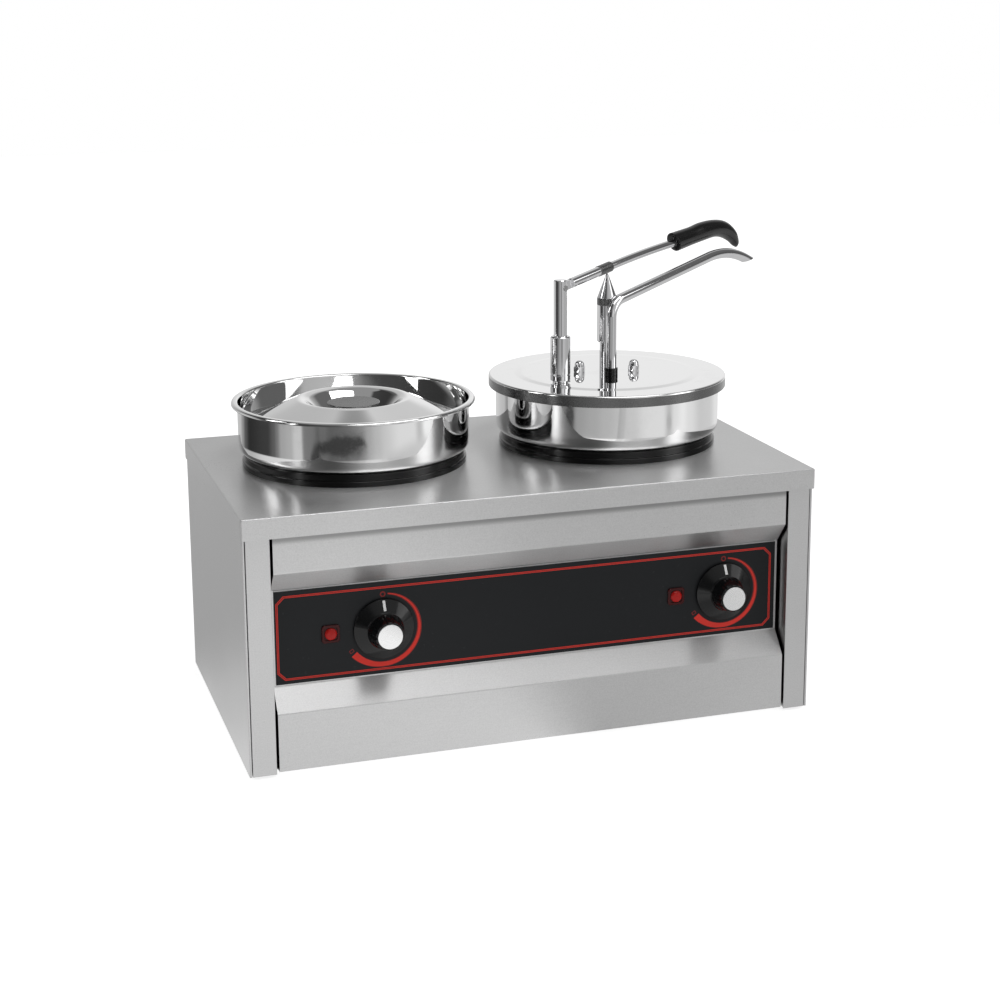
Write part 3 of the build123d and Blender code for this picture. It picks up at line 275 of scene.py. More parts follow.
# %% [markdown]
# ### Moulded surface
# Plastic and rubber keep the fine texture of their mould. A few specks of dust dull the gloss.
# Both are noises, because a mould has no direction.


# %% Moulded surface
def build_moulded(tree, given):
    """Fine texture of a mould, with a little dust that dulls the gloss."""
    place = add(tree, "ShaderNodeTexCoord").outputs["Object"]
    fine = noise(tree, place, given["Scale"], 2.0, 0.6)
    dust = noise(tree, place, 160.0, 5.0, 0.75)
    specks = spread(tree, dust, 0.62, 0.72, 0.0, 1.0, True)
    rough = added(tree, given["Roughness"], vary(tree, fine, -0.04, 0.06))
    rough = added(tree, rough, times(tree, specks, 0.12))
    return {"Dust": specks, "Roughness": rough, "Normal": relief(tree, fine, given["Depth"])}


moulded = effect("moulded surface", {"Scale": 500.0, "Roughness": 0.25, "Depth": 0.00002}, build_moulded)

# %% [markdown]
# ## Finishes
# A finish is a Principled BSDF with plain values on its own sockets. Only what changes over the
# surface comes from the effects above. Two makers serve nearly all finishes, one for bare metal
# and one for plastic, so that a finish is one row of a table.


# %% Material makers
def new_finish(name, **plain):
    """A material, its tree and its Principled node, with plain values set on the sockets."""
    material = bpy.data.materials.new(name)
    material.use_nodes = True
    tree = material.node_tree
    shader = tree.nodes["Principled BSDF"]
    for key, value in plain.items():
        shader.inputs[key.replace("_", " ")].default_value = value
    return material, tree, shader


def place_effect(tree, group, **values):
    """The effect placed in a material with its own values."""
    node = add(tree, "ShaderNodeGroup", node_tree=group)
    for key, value in values.items():
        node.inputs[key.replace("_", " ")].default_value = value
    return node.outputs


BRUSHED = 0.85     # how much wider a reflection on brushed steel is across the brush marks


def across_brush(tree):
    """Direction on the surface square to the brush marks, which run level round the housing:
    the normal crossed with the level direction in the surface."""
    facing = add(tree, "ShaderNodeNewGeometry").outputs["Normal"]
    level = vector_math(tree, "CROSS_PRODUCT", (0.0, 0.0, 1.0), facing)
    level = vector_math(tree, "ADD", level, (0.05, 0.0, 0.0))
    across = vector_math(tree, "CROSS_PRODUCT", facing, level)
    return vector_math(tree, "NORMALIZE", across, (0.0, 0.0, 0.0))


def metal(name, tone, group, **values):
    """Bare metal of one tone whose effect changes tone, roughness and normal."""
    material, tree, shader = new_finish(name, Metallic=1.0)
    effects = place_effect(tree, group, **values)
    colour = blend_colours(tree, 1.0, tone, effects["Tone"], "MULTIPLY")
    feed(tree, colour, shader.inputs["Base Color"])
    for key in ("Roughness", "Normal"):
        feed(tree, effects[key], shader.inputs[key])
    if group == satin_grain:
        feed(tree, across_brush(tree), shader.inputs["Tangent"])
        shader.inputs["Anisotropic"].default_value = BRUSHED
    return material


DUST = grey(0.25)


def plastic(name, colour, roughness, depth, dust_share, specular):
    """Coloured plastic or rubber with the moulded effect; a little dust shows on it."""
    material, tree, shader = new_finish(name, Specular_IOR_Level=specular)
    effects = place_effect(tree, moulded, Roughness=roughness, Depth=depth)
    share = times(tree, effects["Dust"], dust_share)
    feed(tree, blend_colours(tree, share, (*colour, 1.0), DUST), shader.inputs["Base Color"])
    for key in ("Roughness", "Normal"):
        feed(tree, effects[key], shader.inputs[key])
    return material


# %% [markdown]
# ### Metals
# Brushed steel for the housing, duller sheet for what is inside, polished steel for pots and
# lids, and slightly softer chrome for the turned pieces. Their tones were set against the greys
# of the photograph.

# %% Metals
SATIN_STEEL = (grey(0.65), satin_grain, {"Roughness": 0.33, "Depth": 0.000008})
METALS = {     # tone, effect and the values of the effect
    "satin_steel": SATIN_STEEL,
    "plain_steel": (grey(0.50), satin_grain, {"Roughness": 0.40, "Depth": 0.00003}),
    "polished_steel": (grey(0.86), polish, {"Roughness": 0.03, "Depth": 0.00006}),
    "chrome": ((0.80, 0.80, 0.81, 1.0), polish, {"Roughness": 0.05, "Depth": 0.000006}),
    "satin_band": (grey(0.19), satin_grain, {"Roughness": 0.28}),
    "brass": ((0.72, 0.52, 0.25, 1.0), satin_grain, {"Roughness": 0.35}),
}
finishes = {name: metal(name, tone, group, **values) for name, (tone, group, values) in METALS.items()}

# %% [markdown]
# ### Sheet under the lip, with painted shade
# Right under the lip of the top plate the fascia lies in the lip's shade. The gap there is too fine for the
# reflection to show it, so the shade is painted: the same steel is toned down by height, over a few
# millimetres.

# %% Sheet under the lip
LIP_LOW = 0.2109       # lower edge of the top plate's lip
SHADE_DEPTH = 0.0075   # how far down the sheet its shade reaches
# tone of the painted shade under the lip
PAINTED_SHADE_TONE = grey(0.34)


def painted_shade_steel():
    """Satin steel with painted shade close under the lip: the tone rises from the lip downwards."""
    tone, group, values = SATIN_STEEL
    material = metal("painted_shade_steel", tone, group, **values)
    tree = material.node_tree
    colour = tree.nodes["Principled BSDF"].inputs["Base Color"]
    plain = colour.links[0].from_socket
    height = split(tree, add(tree, "ShaderNodeTexCoord").outputs["Object"])["Z"]
    # painted shade: the steel is darker over the few millimetres under the lip
    shade = spread(tree, height, LIP_LOW - SHADE_DEPTH, LIP_LOW - 0.3 * SHADE_DEPTH, smooth=True)
    feed(tree, blend_colours(tree, shade, plain, PAINTED_SHADE_TONE), colour)
    return material


finishes["painted_shade_steel"] = painted_shade_steel()
print("metals:", ", ".join(finishes))

# %% [markdown]
# ### Plastics, rubber and ink
# The knobs, the grip and the control plate are black, each with a gloss of its own. The ink, the
# lenses and their holders are shades of one red. Dust is left off the reds, where it would show
# as pink specks.

# %% Plastics and rubber
PLASTICS = {   # colour, roughness, depth of the relief, share of dust, specular level
    "black_panel": ((0.009, 0.010, 0.0115), 0.42, 0.00001, 0.05, 0.2),
    "knob_black": ((0.005, 0.0052, 0.0055), 0.10, 0.000002, 0.01, 0.36),
    "grip_black": ((0.006, 0.006, 0.006), 0.17, 0.000004, 0.02, 0.5),
    "black_plastic": ((0.012, 0.012, 0.012), 0.45, 0.00002, 0.05, 0.5),
    "black_rubber": ((0.014, 0.014, 0.014), 0.6, 0.00002, 0.05, 0.5),
    "black_seal": ((0.004, 0.004, 0.004), 0.10, 0.000001, 0.05, 0.45),
    "white_seal": ((0.72, 0.71, 0.68), 0.4, 0.00002, 0.05, 0.5),
    "white_plastic": ((0.68, 0.66, 0.60), 0.4, 0.00002, 0.05, 0.5),
    "pointer_white": ((0.80, 0.80, 0.80), 0.4, 0.00002, 0.05, 0.5),
    "print_red": ((0.58, 0.022, 0.012), 0.45, 0.00002, 0.0, 0.25),
    "print_red_dark": ((0.20, 0.012, 0.010), 0.45, 0.00002, 0.0, 0.25),
    "red_lens": ((0.34, 0.010, 0.008), 0.15, 0.00002, 0.0, 0.2),
    "red_bezel": ((0.040, 0.004, 0.004), 0.22, 0.00002, 0.0, 0.2),
}
finishes.update({name: plastic(name, *row) for name, row in PLASTICS.items()})
print("finishes:", len(finishes))

# %% [markdown]
# ### Spun aluminium
# The discs in the knobs were turned on a lathe, which leaves fine rings. The rings follow the
# disc's own map, whose second coordinate runs along the radius.


# %% Spun aluminium
def spun_aluminium():
    """Fine rings round the middle of a disc, from a noise that changes quickly along the radius."""
    material, tree, shader = new_finish("spun_aluminium", Metallic=1.0, Anisotropic=0.7)
    place = add(tree, "ShaderNodeTexCoord")
    stretch = add(tree, "ShaderNodeMapping")
    stretch.inputs["Scale"].default_value = (2.0, 260.0, 1.0)
    feed(tree, place.outputs["UV"], stretch.inputs["Vector"])
    rings = noise(tree, stretch.outputs[0], 1.0, 3.0, 0.7)
    feed(tree, blend_colours(tree, rings, grey(0.86), grey(0.95)), shader.inputs["Base Color"])
    feed(tree, vary(tree, rings, 0.2, 0.34), shader.inputs["Roughness"])
    feed(tree, relief(tree, rings, 0.000004), shader.inputs["Normal"])
    return material


finishes["spun_aluminium"] = spun_aluminium()

# %% [markdown]
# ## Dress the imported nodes
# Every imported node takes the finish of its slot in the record. Nodes that mirror the studio are
# replaced further down by finer meshes with the same sizes.

# %% Assign finishes to the nodes
slots = {row["node"]: row["material_slot"] for row in frame["record"]["subparts"]}
for node, packed in frame["nodes"].items():
    packed.data.materials.clear()
    # the fascia takes the satin steel with the lip's shade painted under it
    packed.data.materials.append(finishes["painted_shade_steel" if node == "fascia" else slots[node]])
print("dressed", len(slots), "nodes")

# %% [markdown]
# ## Surfaces from arrays
# The finer pieces could be modelled by hand, with screw and bevel modifiers. Here each is a grid
# of points, computed with numpy as a whole, so that its sizes are the numbers of the drawing.
# Merging the points that coincide closes its seams and poles. The second map coordinate runs
# along the outline.

# %% Places
MM = 0.001


def moved(x, y, z):
    """Place that shifts by millimetres."""
    place = np.eye(4)
    place[:3, 3] = (x, y, z)
    return place


def turned_about(axis, degrees):
    """Place that turns about an axis of the frame."""
    return np.array(Matrix.Rotation(math.radians(degrees), 4, axis))


# %% Grid to mesh
def surface(name, grids, place=np.eye(4), sharp=35.0):
    """Mesh of one or more grids shaped (rows, columns, 3), in millimetres of the given place.
    Edges that turn by more than the angle given in degrees are shaded as sharp ones."""
    grids = grids if isinstance(grids, list) else [grids]
    corners, quads, maps, first = [], [], [], 0
    for grid in grids:
        rows, columns = grid.shape[:2]
        index = first + np.arange(rows * columns).reshape(rows, columns)
        around = (index[:-1, :-1], index[:-1, 1:], index[1:, 1:], index[1:, :-1])
        quads.append(np.stack(around, -1).reshape(-1, 4))
        corners.append(grid.reshape(-1, 3) @ place[:3, :3].T + place[:3, 3])
        u, v = np.meshgrid(np.linspace(0, 1, columns), np.linspace(0, 1, rows))
        maps.append(np.stack([u, v], -1).reshape(-1, 2))
        first += rows * columns
    mesh = bpy.data.meshes.new(name)
    mesh.from_pydata(np.concatenate(corners) * MM, [], np.concatenate(quads))
    loop_corner = np.zeros(len(mesh.loops), np.int32)
    mesh.loops.foreach_get("vertex_index", loop_corner)
    layer = mesh.uv_layers.new(name="map")
    layer.data.foreach_set("uv", np.concatenate(maps)[loop_corner].astype(np.float32).ravel())
    shell = bmesh.new()
    shell.from_mesh(mesh)
    bmesh.ops.remove_doubles(shell, verts=shell.verts, dist=1e-6)
    bmesh.ops.dissolve_degenerate(shell, edges=shell.edges, dist=1e-7)
    bmesh.ops.recalc_face_normals(shell, faces=shell.faces)
    shell.to_mesh(mesh)
    shell.free()
    mesh.polygons.foreach_set("use_smooth", np.ones(len(mesh.polygons), bool))
    mesh.set_sharp_from_angle(angle=math.radians(sharp))
    piece = bpy.data.objects.new(name, mesh)
    bpy.context.scene.collection.objects.link(piece)
    return piece


def settle(piece, body, finish, nodes=()):
    """Gives a piece its finish and body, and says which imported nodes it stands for."""
    piece.data.materials.append(finishes[finish])
    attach(piece, body)
    if nodes:
        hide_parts(*nodes)
    print(f"{piece.name}: {len(piece.data.polygons)} faces on {body}")
    return piece


# %% Outlines
def rounded(points, radii, steps=9):
    """Line through points whose corners are arcs: an arc of radius r starts r*tan(turn/2) before
    its corner and turns from the direction that comes in to the one that goes out."""
    points = np.asarray(points, float)
    radii = np.broadcast_to(np.asarray(radii, float), len(points) - 2)
    steps_in = np.diff(points, axis=0)
    ways = steps_in / np.linalg.norm(steps_in, axis=1, keepdims=True)
    coming, going = ways[:-1], ways[1:]
    cross = coming[:, 0] * going[:, 1] - coming[:, 1] * going[:, 0]
    turn = np.arctan2(cross, (coming * going).sum(1))
    reach = radii * np.tan(np.abs(turn) / 2)
    start = points[1:-1] - coming * reach[:, None]
    side = np.sign(turn)[:, None] * np.stack([-coming[:, 1], coming[:, 0]], 1)
    angle = np.abs(turn)[:, None] * np.linspace(0, 1, steps)
    along = np.sin(angle)[..., None] * coming[:, None]
    across = (1 - np.cos(angle))[..., None] * side[:, None]
    arcs = start[:, None] + radii[:, None, None] * (along + across)
    return np.concatenate([points[:1], arcs.reshape(-1, 2), points[-1:]])


def both_sides(middle, thickness):
    """Closed outline of a sheet: its middle line moved half the thickness to each side. A point that
    coincides with the one before it has no direction and is left out."""
    apart = np.linalg.norm(np.diff(middle, axis=0), axis=1) > 1e-9
    middle = middle[np.append(True, apart)]
    way = np.gradient(middle, axis=0)
    way /= np.linalg.norm(way, axis=1, keepdims=True)
    across = np.stack([-way[:, 1], way[:, 0]], 1) * thickness / 2
    return np.concatenate([middle + across, (middle - across)[::-1], (middle + across)[:1]])


def closed(points, radii, steps=5):
    """Closed outline with rounded corners; it starts in the middle of its first side."""
    points = np.asarray(points, float)
    start = (points[-1] + points[0]) / 2
    return rounded(np.concatenate([[start], points, [start]]), radii, steps)


def held(outline, gap=0.4, least=1.6):
    """The same outline with one more point close to both ends of every long straight side, so that
    smooth shading bends at the corners only and a mirror image on the side stays straight."""
    side = np.diff(outline, axis=0)
    length = np.linalg.norm(side, axis=1)
    long = np.flatnonzero(length > least)
    step = side[long] * (gap / length[long])[:, None]
    extra = np.stack([outline[long] + step, outline[long + 1] - step], 1).reshape(-1, 2)
    return np.insert(outline, np.repeat(long + 1, 2), extra, axis=0)


def turn(outline, sides=192, x=0.0, y=0.0, hold=True):
    """Surface of revolution: every point (r, z) of the outline runs once round the axis."""
    outline = held(outline) if hold else outline
    angle = np.linspace(0, 2 * np.pi, sides + 1)
    r, z = np.maximum(outline[:, :1], 0), outline[:, 1:]
    return np.stack([x + r * np.cos(angle), y + r * np.sin(angle), z + 0 * angle], -1)


def turned_piece(name, body, finish, nodes, points, radii, place, sides=96):
    """A turned piece of solid stuff: the closed outline (r, z) runs once round its place's axis."""
    return settle(surface(name, turn(closed(points, radii), sides), place), body, finish, nodes)


# %% [markdown]
# ## Pots
# Each pot is pressed from one sheet: a wide upper part with a flat rim, a rounded shoulder that
# stands on the black ring, and a narrower neck that hangs in the well. Turning a thickened outline
# with many sides keeps the mirror reflections smooth. Inflating a cylinder would not: its straight
# wall has to stay exactly straight, or the floor's image in it bends.

# %% Pots
HOUSING = moved(-28.6, 0.6, 0.0)      # from the middle of the housing to the frame
POT_X = {"left": -123.4, "right": 123.4}
POT_Y = 18.0
SHEET = 0.8                           # of pots and left lid
NECK_R, WALL_R, RIM_R = 95.6, 105.2, 110.6
POT_SIDES = 256
neck = [(0, 133.4), (NECK_R, 133.4), (NECK_R, 241.3)]
wall = [(104.3, 241.3), (WALL_R, 252.5), (WALL_R, 287.8), (RIM_R, 287.8), (RIM_R, 285.2)]
pot_outline = both_sides(rounded(neck + wall, [12.0, 1.6, 6.5, 60.0, 1.6, 2.1], 14), SHEET)
for side, x in POT_X.items():
    pot = surface(f"pot_{side}_shell", turn(pot_outline, POT_SIDES, x, POT_Y), HOUSING)
    settle(pot, f"{side}_pot", "polished_steel", [f"pot_{side}"])

# %% [markdown]
# ## Left lid
# The lid is a shallow cone with a dish in its middle, and a skirt that stands on the pot's
# shoulder. A flat disc on a short stem is its knob. It is pressed sheet like the pots, so it is
# made the same way; disc and rivet are solid.

# %% Left lid
LEFT_POT = HOUSING @ moved(POT_X["left"], POT_Y, 0.0)
lid_line = [(0, 266.0), (27, 266.0), (47, 289.5), (104.0, 265.4), (99.0, 242.4)]
lid_outline = both_sides(rounded(lid_line, [7.0, 9.0, 1.6], 14), SHEET)
lid = surface("lid_left_shell", turn(lid_outline, POT_SIDES), LEFT_POT)
settle(lid, "left_lid", "polished_steel", ["lid_left"])
disc = [(0, 283.7), (24.3, 283.7), (24.3, 281.3), (6.0, 281.3), (6.0, 266.4), (0, 266.4)]
disc_radii = [0, 0.9, 0.9, 1.5, 0.8, 0]
turned_piece("lid_left_disc", "left_lid", "satin_band", ["lid_left_knob"], disc, disc_radii, LEFT_POT, 128)
rivet = [(0, 266.4), (2.5, 266.4), (2.5, 265.6), (4.5, 265.6), (4.5, 264.0), (0, 264.0)]
rivet_radii = [0, 0, 0, 0.4, 0.9, 0]
turned_piece("lid_left_rivet", "left_lid", "polished_steel", (), rivet, rivet_radii, LEFT_POT, 48)

# %% [markdown]
# ## Black rings
# A stepped rubber ring seals each well. A plain torus would do from afar, but the thin highlights
# of the photograph run along the steps, so the steps are there and their edges are rounded.

# %% Black rings
ring_foot = [(96.9, 230.2), (101.2, 230.2), (101.2, 229.4), (102.5, 229.4)]
ring_steps = [(102.5, 234.2), (101.0, 234.95), (101.0, 240.8), (96.9, 240.8)]
ring_outline = closed(ring_foot + ring_steps, [0, 0, 0, 0.5, 0.9, 0.3, 1.2, 1.2])
rings = surface("seal_ring_pair", [turn(ring_outline, 224, x, POT_Y) for x in POT_X.values()], HOUSING)
settle(rings, "housing", "black_seal", ["seal_rings"])

# %% [markdown]
# ## Pump lid
# The pump's lid is flat with a short skirt. Its middle stands up a little, which shows as a faint
# circle. Lid and skirt are two pieces, because the skirt is duller. Everything on the lid is
# placed from the plunger's axis, with the lever 30 degrees off +X.

# %% Pump lid
LEVER_TURN = 30.0
PUMP = HOUSING @ moved(POT_X["right"], POT_Y, 0.0) @ turned_about("Z", LEVER_TURN)
COVER_SHEET = 1.0
cover_line = [(0, 295.0), (80.5, 295.0), (87.5, 294.2), (111.8, 294.2), (111.8, 292.9)]
cover_outline = both_sides(rounded(cover_line, [25.0, 25.0, 1.3], 12), COVER_SHEET)
cover = surface("pump_lid_shell", turn(cover_outline, POT_SIDES), PUMP)
settle(cover, "pump", "polished_steel", ["pump_lid"])
skirt = [(111.3, 284.3), (112.3, 284.3), (112.3, 292.9), (111.3, 292.9)]
turned_piece("pump_lid_skirt", "pump", "satin_band", (), skirt, [0.2, 0.4, 0, 0], PUMP, POT_SIDES)

# %% [markdown]
# ## Nuts on the lid
# An acorn nut is a hexagon whose corners are turned down, with a dome on top. It could be cut from
# a prism and a cone. As one surface its radius is a function of angle and height: the smaller of
# a hexagon and a circle that shrinks near the ends.

# %% Acorn nuts
STUD_AWAY, STUD_ANGLES = 26.0, np.radians([-42.65, 137.35])
STUDS = [(STUD_AWAY * math.cos(a), STUD_AWAY * math.sin(a)) for a in STUD_ANGLES]
DECK = 295.5       # top of the pump lid


def acorn_nut(x, y, z, across_flats=10.0, height=5.3, dome=4.6, total=11.0):
    """Hexagon r = flats/2 / cos(angle in its sextant), cut by a cone at both ends, then a dome."""
    angle = np.linspace(0, 2 * np.pi, 97)
    sextant = (angle + np.pi / 6) % (np.pi / 3) - np.pi / 6
    hexagon = across_flats / 2 / np.cos(sextant)
    corner = across_flats / 2 / math.cos(math.pi / 6)
    level = np.array([0.0, 0.0, 0.7, height - 0.9, height])
    limit = np.array([0.0, corner - 0.7, corner + 0.1, corner + 0.1, dome + 0.3])
    prism = np.minimum(hexagon[None], limit[:, None])
    tilt = np.linspace(0, np.pi / 2, 14)
    base = total - dome
    dome_r = dome * np.cos(tilt)[:, None] + 0 * angle
    r = np.concatenate([prism, dome + 0 * angle[None], dome_r])
    levels = np.concatenate([level, [height], base + dome * np.sin(tilt)])
    return np.stack([x + r * np.cos(angle), y + r * np.sin(angle), z + levels[:, None] + 0 * angle], -1)


nuts = surface("acorn_nut_pair", [acorn_nut(x, y, DECK) for x, y in STUDS], PUMP)
settle(nuts, "pump", "chrome", ["acorn_nuts"])

# %% [markdown]
# ## Lever post
# A collar with a small cross pin, a thick sleeve with a groove and a slimmer bar on top. All but
# the bar are lathe work, so outlines are turned here too. The slot in the bar stays as it is in
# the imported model.

# %% Lever post
POST = PUMP @ moved(-67.5, 0.0, 0.0)
sleeve_foot = [(6.3, 297.7), (9.3, 297.7), (9.3, 303.0), (8.6, 303.0), (8.6, 303.7)]
sleeve = sleeve_foot + [(9.3, 303.7), (9.3, 337.9), (8.2, 339.0), (6.3, 339.0)]
sleeve_radii = [0, 0.5, 0.15, 0.1, 0.1, 0.15, 0.3, 0.3, 0]
turned_piece("post_sleeve_turned", "pump", "chrome", ["post_sleeve"], sleeve, sleeve_radii, POST)
collar = [(0, DECK), (7.2, DECK), (7.2, 297.7), (5.0, 297.7), (5.0, 312), (0, 312)]
collar_radii = [0, 0.3, 0.4, 0, 0.3, 0]
turned_piece("post_collar", "pump", "chrome", ["post_spigot"], collar, collar_radii, POST, 64)
pin = [(0, -9.0), (1.0, -9.0), (1.0, 13.4), (0, 13.4)]
pin_place = POST @ moved(0, 0, 296.6) @ turned_about("Y", 90)
turned_piece("post_cross_pin", "pump", "chrome", ["lock_pin"], pin, [0, 0.3, 0.5, 0], pin_place, 24)

# %% [markdown]
# ## Tubes along a path
# The spout and the lever's rod are round sections carried along a line. A curve object with a
# bevel does the same, but its ends and its wall are harder to shape. Here the section stands
# square to the line: one of its axes is the line's own side direction.


# %% Tube helper
def carried(path, radius, sides=48):
    """Circles of a radius, square to a line in the plane of x and z: one axis of a circle is y,
    the other is the line's way crossed with y."""
    way = np.gradient(path, axis=0)
    way /= np.linalg.norm(way, axis=1, keepdims=True)
    side = np.array([0.0, 1.0, 0.0])
    up = np.cross(way, side)[:, None]
    angle = np.linspace(0, 2 * np.pi, sides + 1)[None, :, None]
    return path[:, None] + radius * (np.cos(angle) * side + np.sin(angle) * up)


# %% [markdown]
# ## Spout
# The tube rises out of a black sleeve, bends forwards, climbs gently and drops over a wide crest
# to a mouth that is cut slantwise. Two arcs between straight runs give that line, and wall and
# bore are carried along it together.

# %% Spout
RISER = PUMP @ moved(-11.2, -14.5, 0.0)
SPOUT_R, SPOUT_BORE = 5.0, 4.0
SPOUT_RISE, SPOUT_DROP = math.radians(10.0), math.radians(24.0)
FOOT_Z, BEND_Z, BEND_R, CREST_R = 165.7, 349.7, 17.0, 110.0
RUN, TAIL = 150.0, 16.0        # from the riser to the crest's arc, and past that arc
bend_u = BEND_R * (1 - math.sin(SPOUT_RISE))
bend_z = BEND_Z + BEND_R * math.cos(SPOUT_RISE)
run_z = bend_z + (RUN - bend_u) * math.tan(SPOUT_RISE)
crest_u = RUN + CREST_R * math.tan((SPOUT_RISE + SPOUT_DROP) / 2) * math.cos(SPOUT_RISE)
crest_z = run_z + (crest_u - RUN) * math.tan(SPOUT_RISE)
end_u = RUN + CREST_R * (math.sin(SPOUT_RISE) + math.sin(SPOUT_DROP)) + TAIL * math.cos(SPOUT_DROP)
end_z = crest_z - (end_u - crest_u) * math.tan(SPOUT_DROP)
corner_z = bend_z - bend_u * math.tan(SPOUT_RISE)
corners = [(0, FOOT_Z), (0, corner_z), (crest_u, crest_z), (end_u, end_z)]
spout_line = np.insert(rounded(corners, [BEND_R, CREST_R], 24), 1, 0.0, axis=1)


def cut_slantwise(grid, point, normal, way):
    """Slides the points beyond a plane back along the tube until they lie on it."""
    beyond = (grid - point) @ normal
    return grid - np.maximum(beyond, 0)[..., None] / (way @ normal) * way


MOUTH = np.array([219.5, 0.0, 381.3])
MOUTH_NORMAL = np.array([math.sin(math.radians(11.0)), 0.0, -math.cos(math.radians(11.0))])
mouth_way = np.array([math.cos(SPOUT_DROP), 0.0, -math.sin(SPOUT_DROP)])
outer, inner = carried(spout_line, SPOUT_R), carried(spout_line, SPOUT_BORE)
tube = np.concatenate([outer, inner[::-1], outer[:1]])
past_crest = tube[..., 0] > crest_u
tube = np.where(past_crest[..., None], cut_slantwise(tube, MOUTH, MOUTH_NORMAL, mouth_way), tube)
settle(surface("spout_bent", tube, RISER), "pump", "chrome", ["spout_tube"])
rubber_foot = [(SPOUT_R, DECK), (6.3, DECK), (6.3, 299.0), (5.95, 299.0), (5.95, 299.7)]
rubber = rubber_foot + [(6.3, 299.7), (6.3, 302.5), (SPOUT_R, 302.5)]
rubber_radii = [0, 0.4, 0.1, 0, 0, 0.1, 0.4, 0]
turned_piece("riser_sleeve", "pump", "black_seal", ["riser_seal"], rubber, rubber_radii, RISER, 64)

# %% [markdown]
# ## Plunger
# A bright cone on a dull band and an outer tube that slides over a fixed guide tube. They could
# be one outline, but the band is duller and the guide tube stands still while the rest moves.

# %% Plunger
TIP, BAND_TOP, BAND_FOOT, CASE_FOOT = 389.067, 366.07, 359.57, 324.57
cone = [(0, TIP), (0.9, TIP), (9.5, BAND_TOP), (0, BAND_TOP)]
turned_piece("plunger_tip", "plunger", "chrome", ["plunger_cone"], cone, [0, 0.6, 0.35, 0], PUMP)
band = [(8.5, BAND_FOOT), (9.5, BAND_FOOT), (9.5, BAND_TOP), (8.5, BAND_TOP)]
turned_piece("plunger_ring", "plunger", "satin_band", ["plunger_band"], band, [0, 0.3, 0.3, 0], PUMP)
case_wall = [(6.9, CASE_FOOT), (9.3, CASE_FOOT), (9.3, BAND_FOOT), (8.5, BAND_FOOT)]
case = case_wall + [(8.5, 330.57), (6.9, 330.57)]
case_radii = [0.3, 0.5, 0, 0, 0, 0]
turned_piece("plunger_tube", "plunger", "chrome", ["plunger_case"], case, case_radii, PUMP)
guide = [(5.8, 290.5), (6.8, 290.5), (6.8, 331.57), (5.8, 331.57)]
turned_piece("guide_turned", "pump", "chrome", ["guide_tube"], guide, [0, 0, 0.3, 0.3], PUMP)

# %% [markdown]
# ## Return spring
# The spring inside the guide tube is one wire on a helix.

# %% Return spring
SPRING_R, WIRE_R, SPRING_TURNS = 4.4, 0.6, 16
SPRING_FOOT, WIRE_FOOT, WIRE_TOP = 294.6, 295.2, 358.87
helix = np.linspace(0, 2 * np.pi * SPRING_TURNS, SPRING_TURNS * 20 + 1)[:, None]
wire_angle = np.linspace(0, 2 * np.pi, 9)[None]
wire_r = SPRING_R + WIRE_R * np.cos(wire_angle)
wire_z = WIRE_FOOT + (WIRE_TOP - WIRE_FOOT) * helix / helix[-1] + WIRE_R * np.sin(wire_angle)
coil = np.stack([wire_r * np.cos(helix), wire_r * np.sin(helix), wire_z], -1)


def capped(grid):
    """Closes the two ends of a tube or strip with their middles."""
    middles = [np.broadcast_to(row[:-1].mean(0), row.shape)[None] for row in (grid[0], grid[-1])]
    return np.concatenate([middles[0], grid, middles[1]])


spring = surface("spring_wire", capped(coil), PUMP)
settle(spring, "pump", "plain_steel", ["return_spring"])
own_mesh(spring)

# %% [markdown]
# ## Lever
# The arm turns in the slot of the post. A collar presses the plunger, a thinner rod goes on to the
# grip and droops slightly. Arm and collar are turned outlines that lie along the lever. The rod
# is carried along an arc of large radius.

# %% Lever
LEVER = PUMP @ moved(-67.5, 0.0, 383.7) @ turned_about("Y", -9.2)
ALONG = LEVER @ turned_about("Y", 90)          # turns an upright outline along the lever
arm = [(0, 14.7), (4.65, 14.7), (4.65, 70.0), (0, 70.0)]
turned_piece("lever_tube", "lever", "chrome", (), arm, [0, 0.5, 0, 0], ALONG, 64)
ring = [(4.6, 54.5), (5.0, 54.5), (5.0, 72.5), (3.9, 72.5)]
turned_piece("lever_ring", "lever", "satin_band", ["lever_collar"], ring, [0, 0.3, 0.4, 0], ALONG, 64)
ROD_R, ROD_START, DROOP_START, DROOP_R, DROOP_DEGREES = 3.9, 56.0, 72.5, 1300.0, 6.0
droop = np.radians(np.linspace(0, DROOP_DEGREES, 40))
arc = [DROOP_START + DROOP_R * np.sin(droop), 0 * droop, -DROOP_R * (1 - np.cos(droop))]
rod_line = np.concatenate([[[ROD_START, 0, 0]], np.stack(arc, 1)])
rod = surface("lever_rod_bent", capped(carried(rod_line, ROD_R)), LEVER)
settle(rod, "lever", "chrome", ["lever_rod"])

# %% [markdown]
# ## Grip
# The black grip is an oval section carried along a line that bends down like a beak. It could be
# sculpted. Stations along the lever, measured in the photograph, are easier to correct: they give
# its height, tilt and half sizes, and a smooth curve runs between them.

# %% Grip
STATIONS = np.array(      # place along the lever, height, tilt in degrees, half height, half width
    [
        (171.8, -3.0, 13.0, 10.0, 8.0),
        (197.4, -4.0, -1.0, 9.1, 7.6),
        (216.3, -4.3, -3.0, 9.4, 8.0),
        (237.0, -6.4, -12.0, 8.7, 8.0),
        (252.9, -11.8, -27.0, 8.4, 7.4),
        (265.5, -21.4, -47.0, 6.9, 6.0),
        (271.3, -30.5, -64.0, 4.4, 4.0),
        (272.8, -34.5, -72.0, 1.8, 1.6),
    ]
)


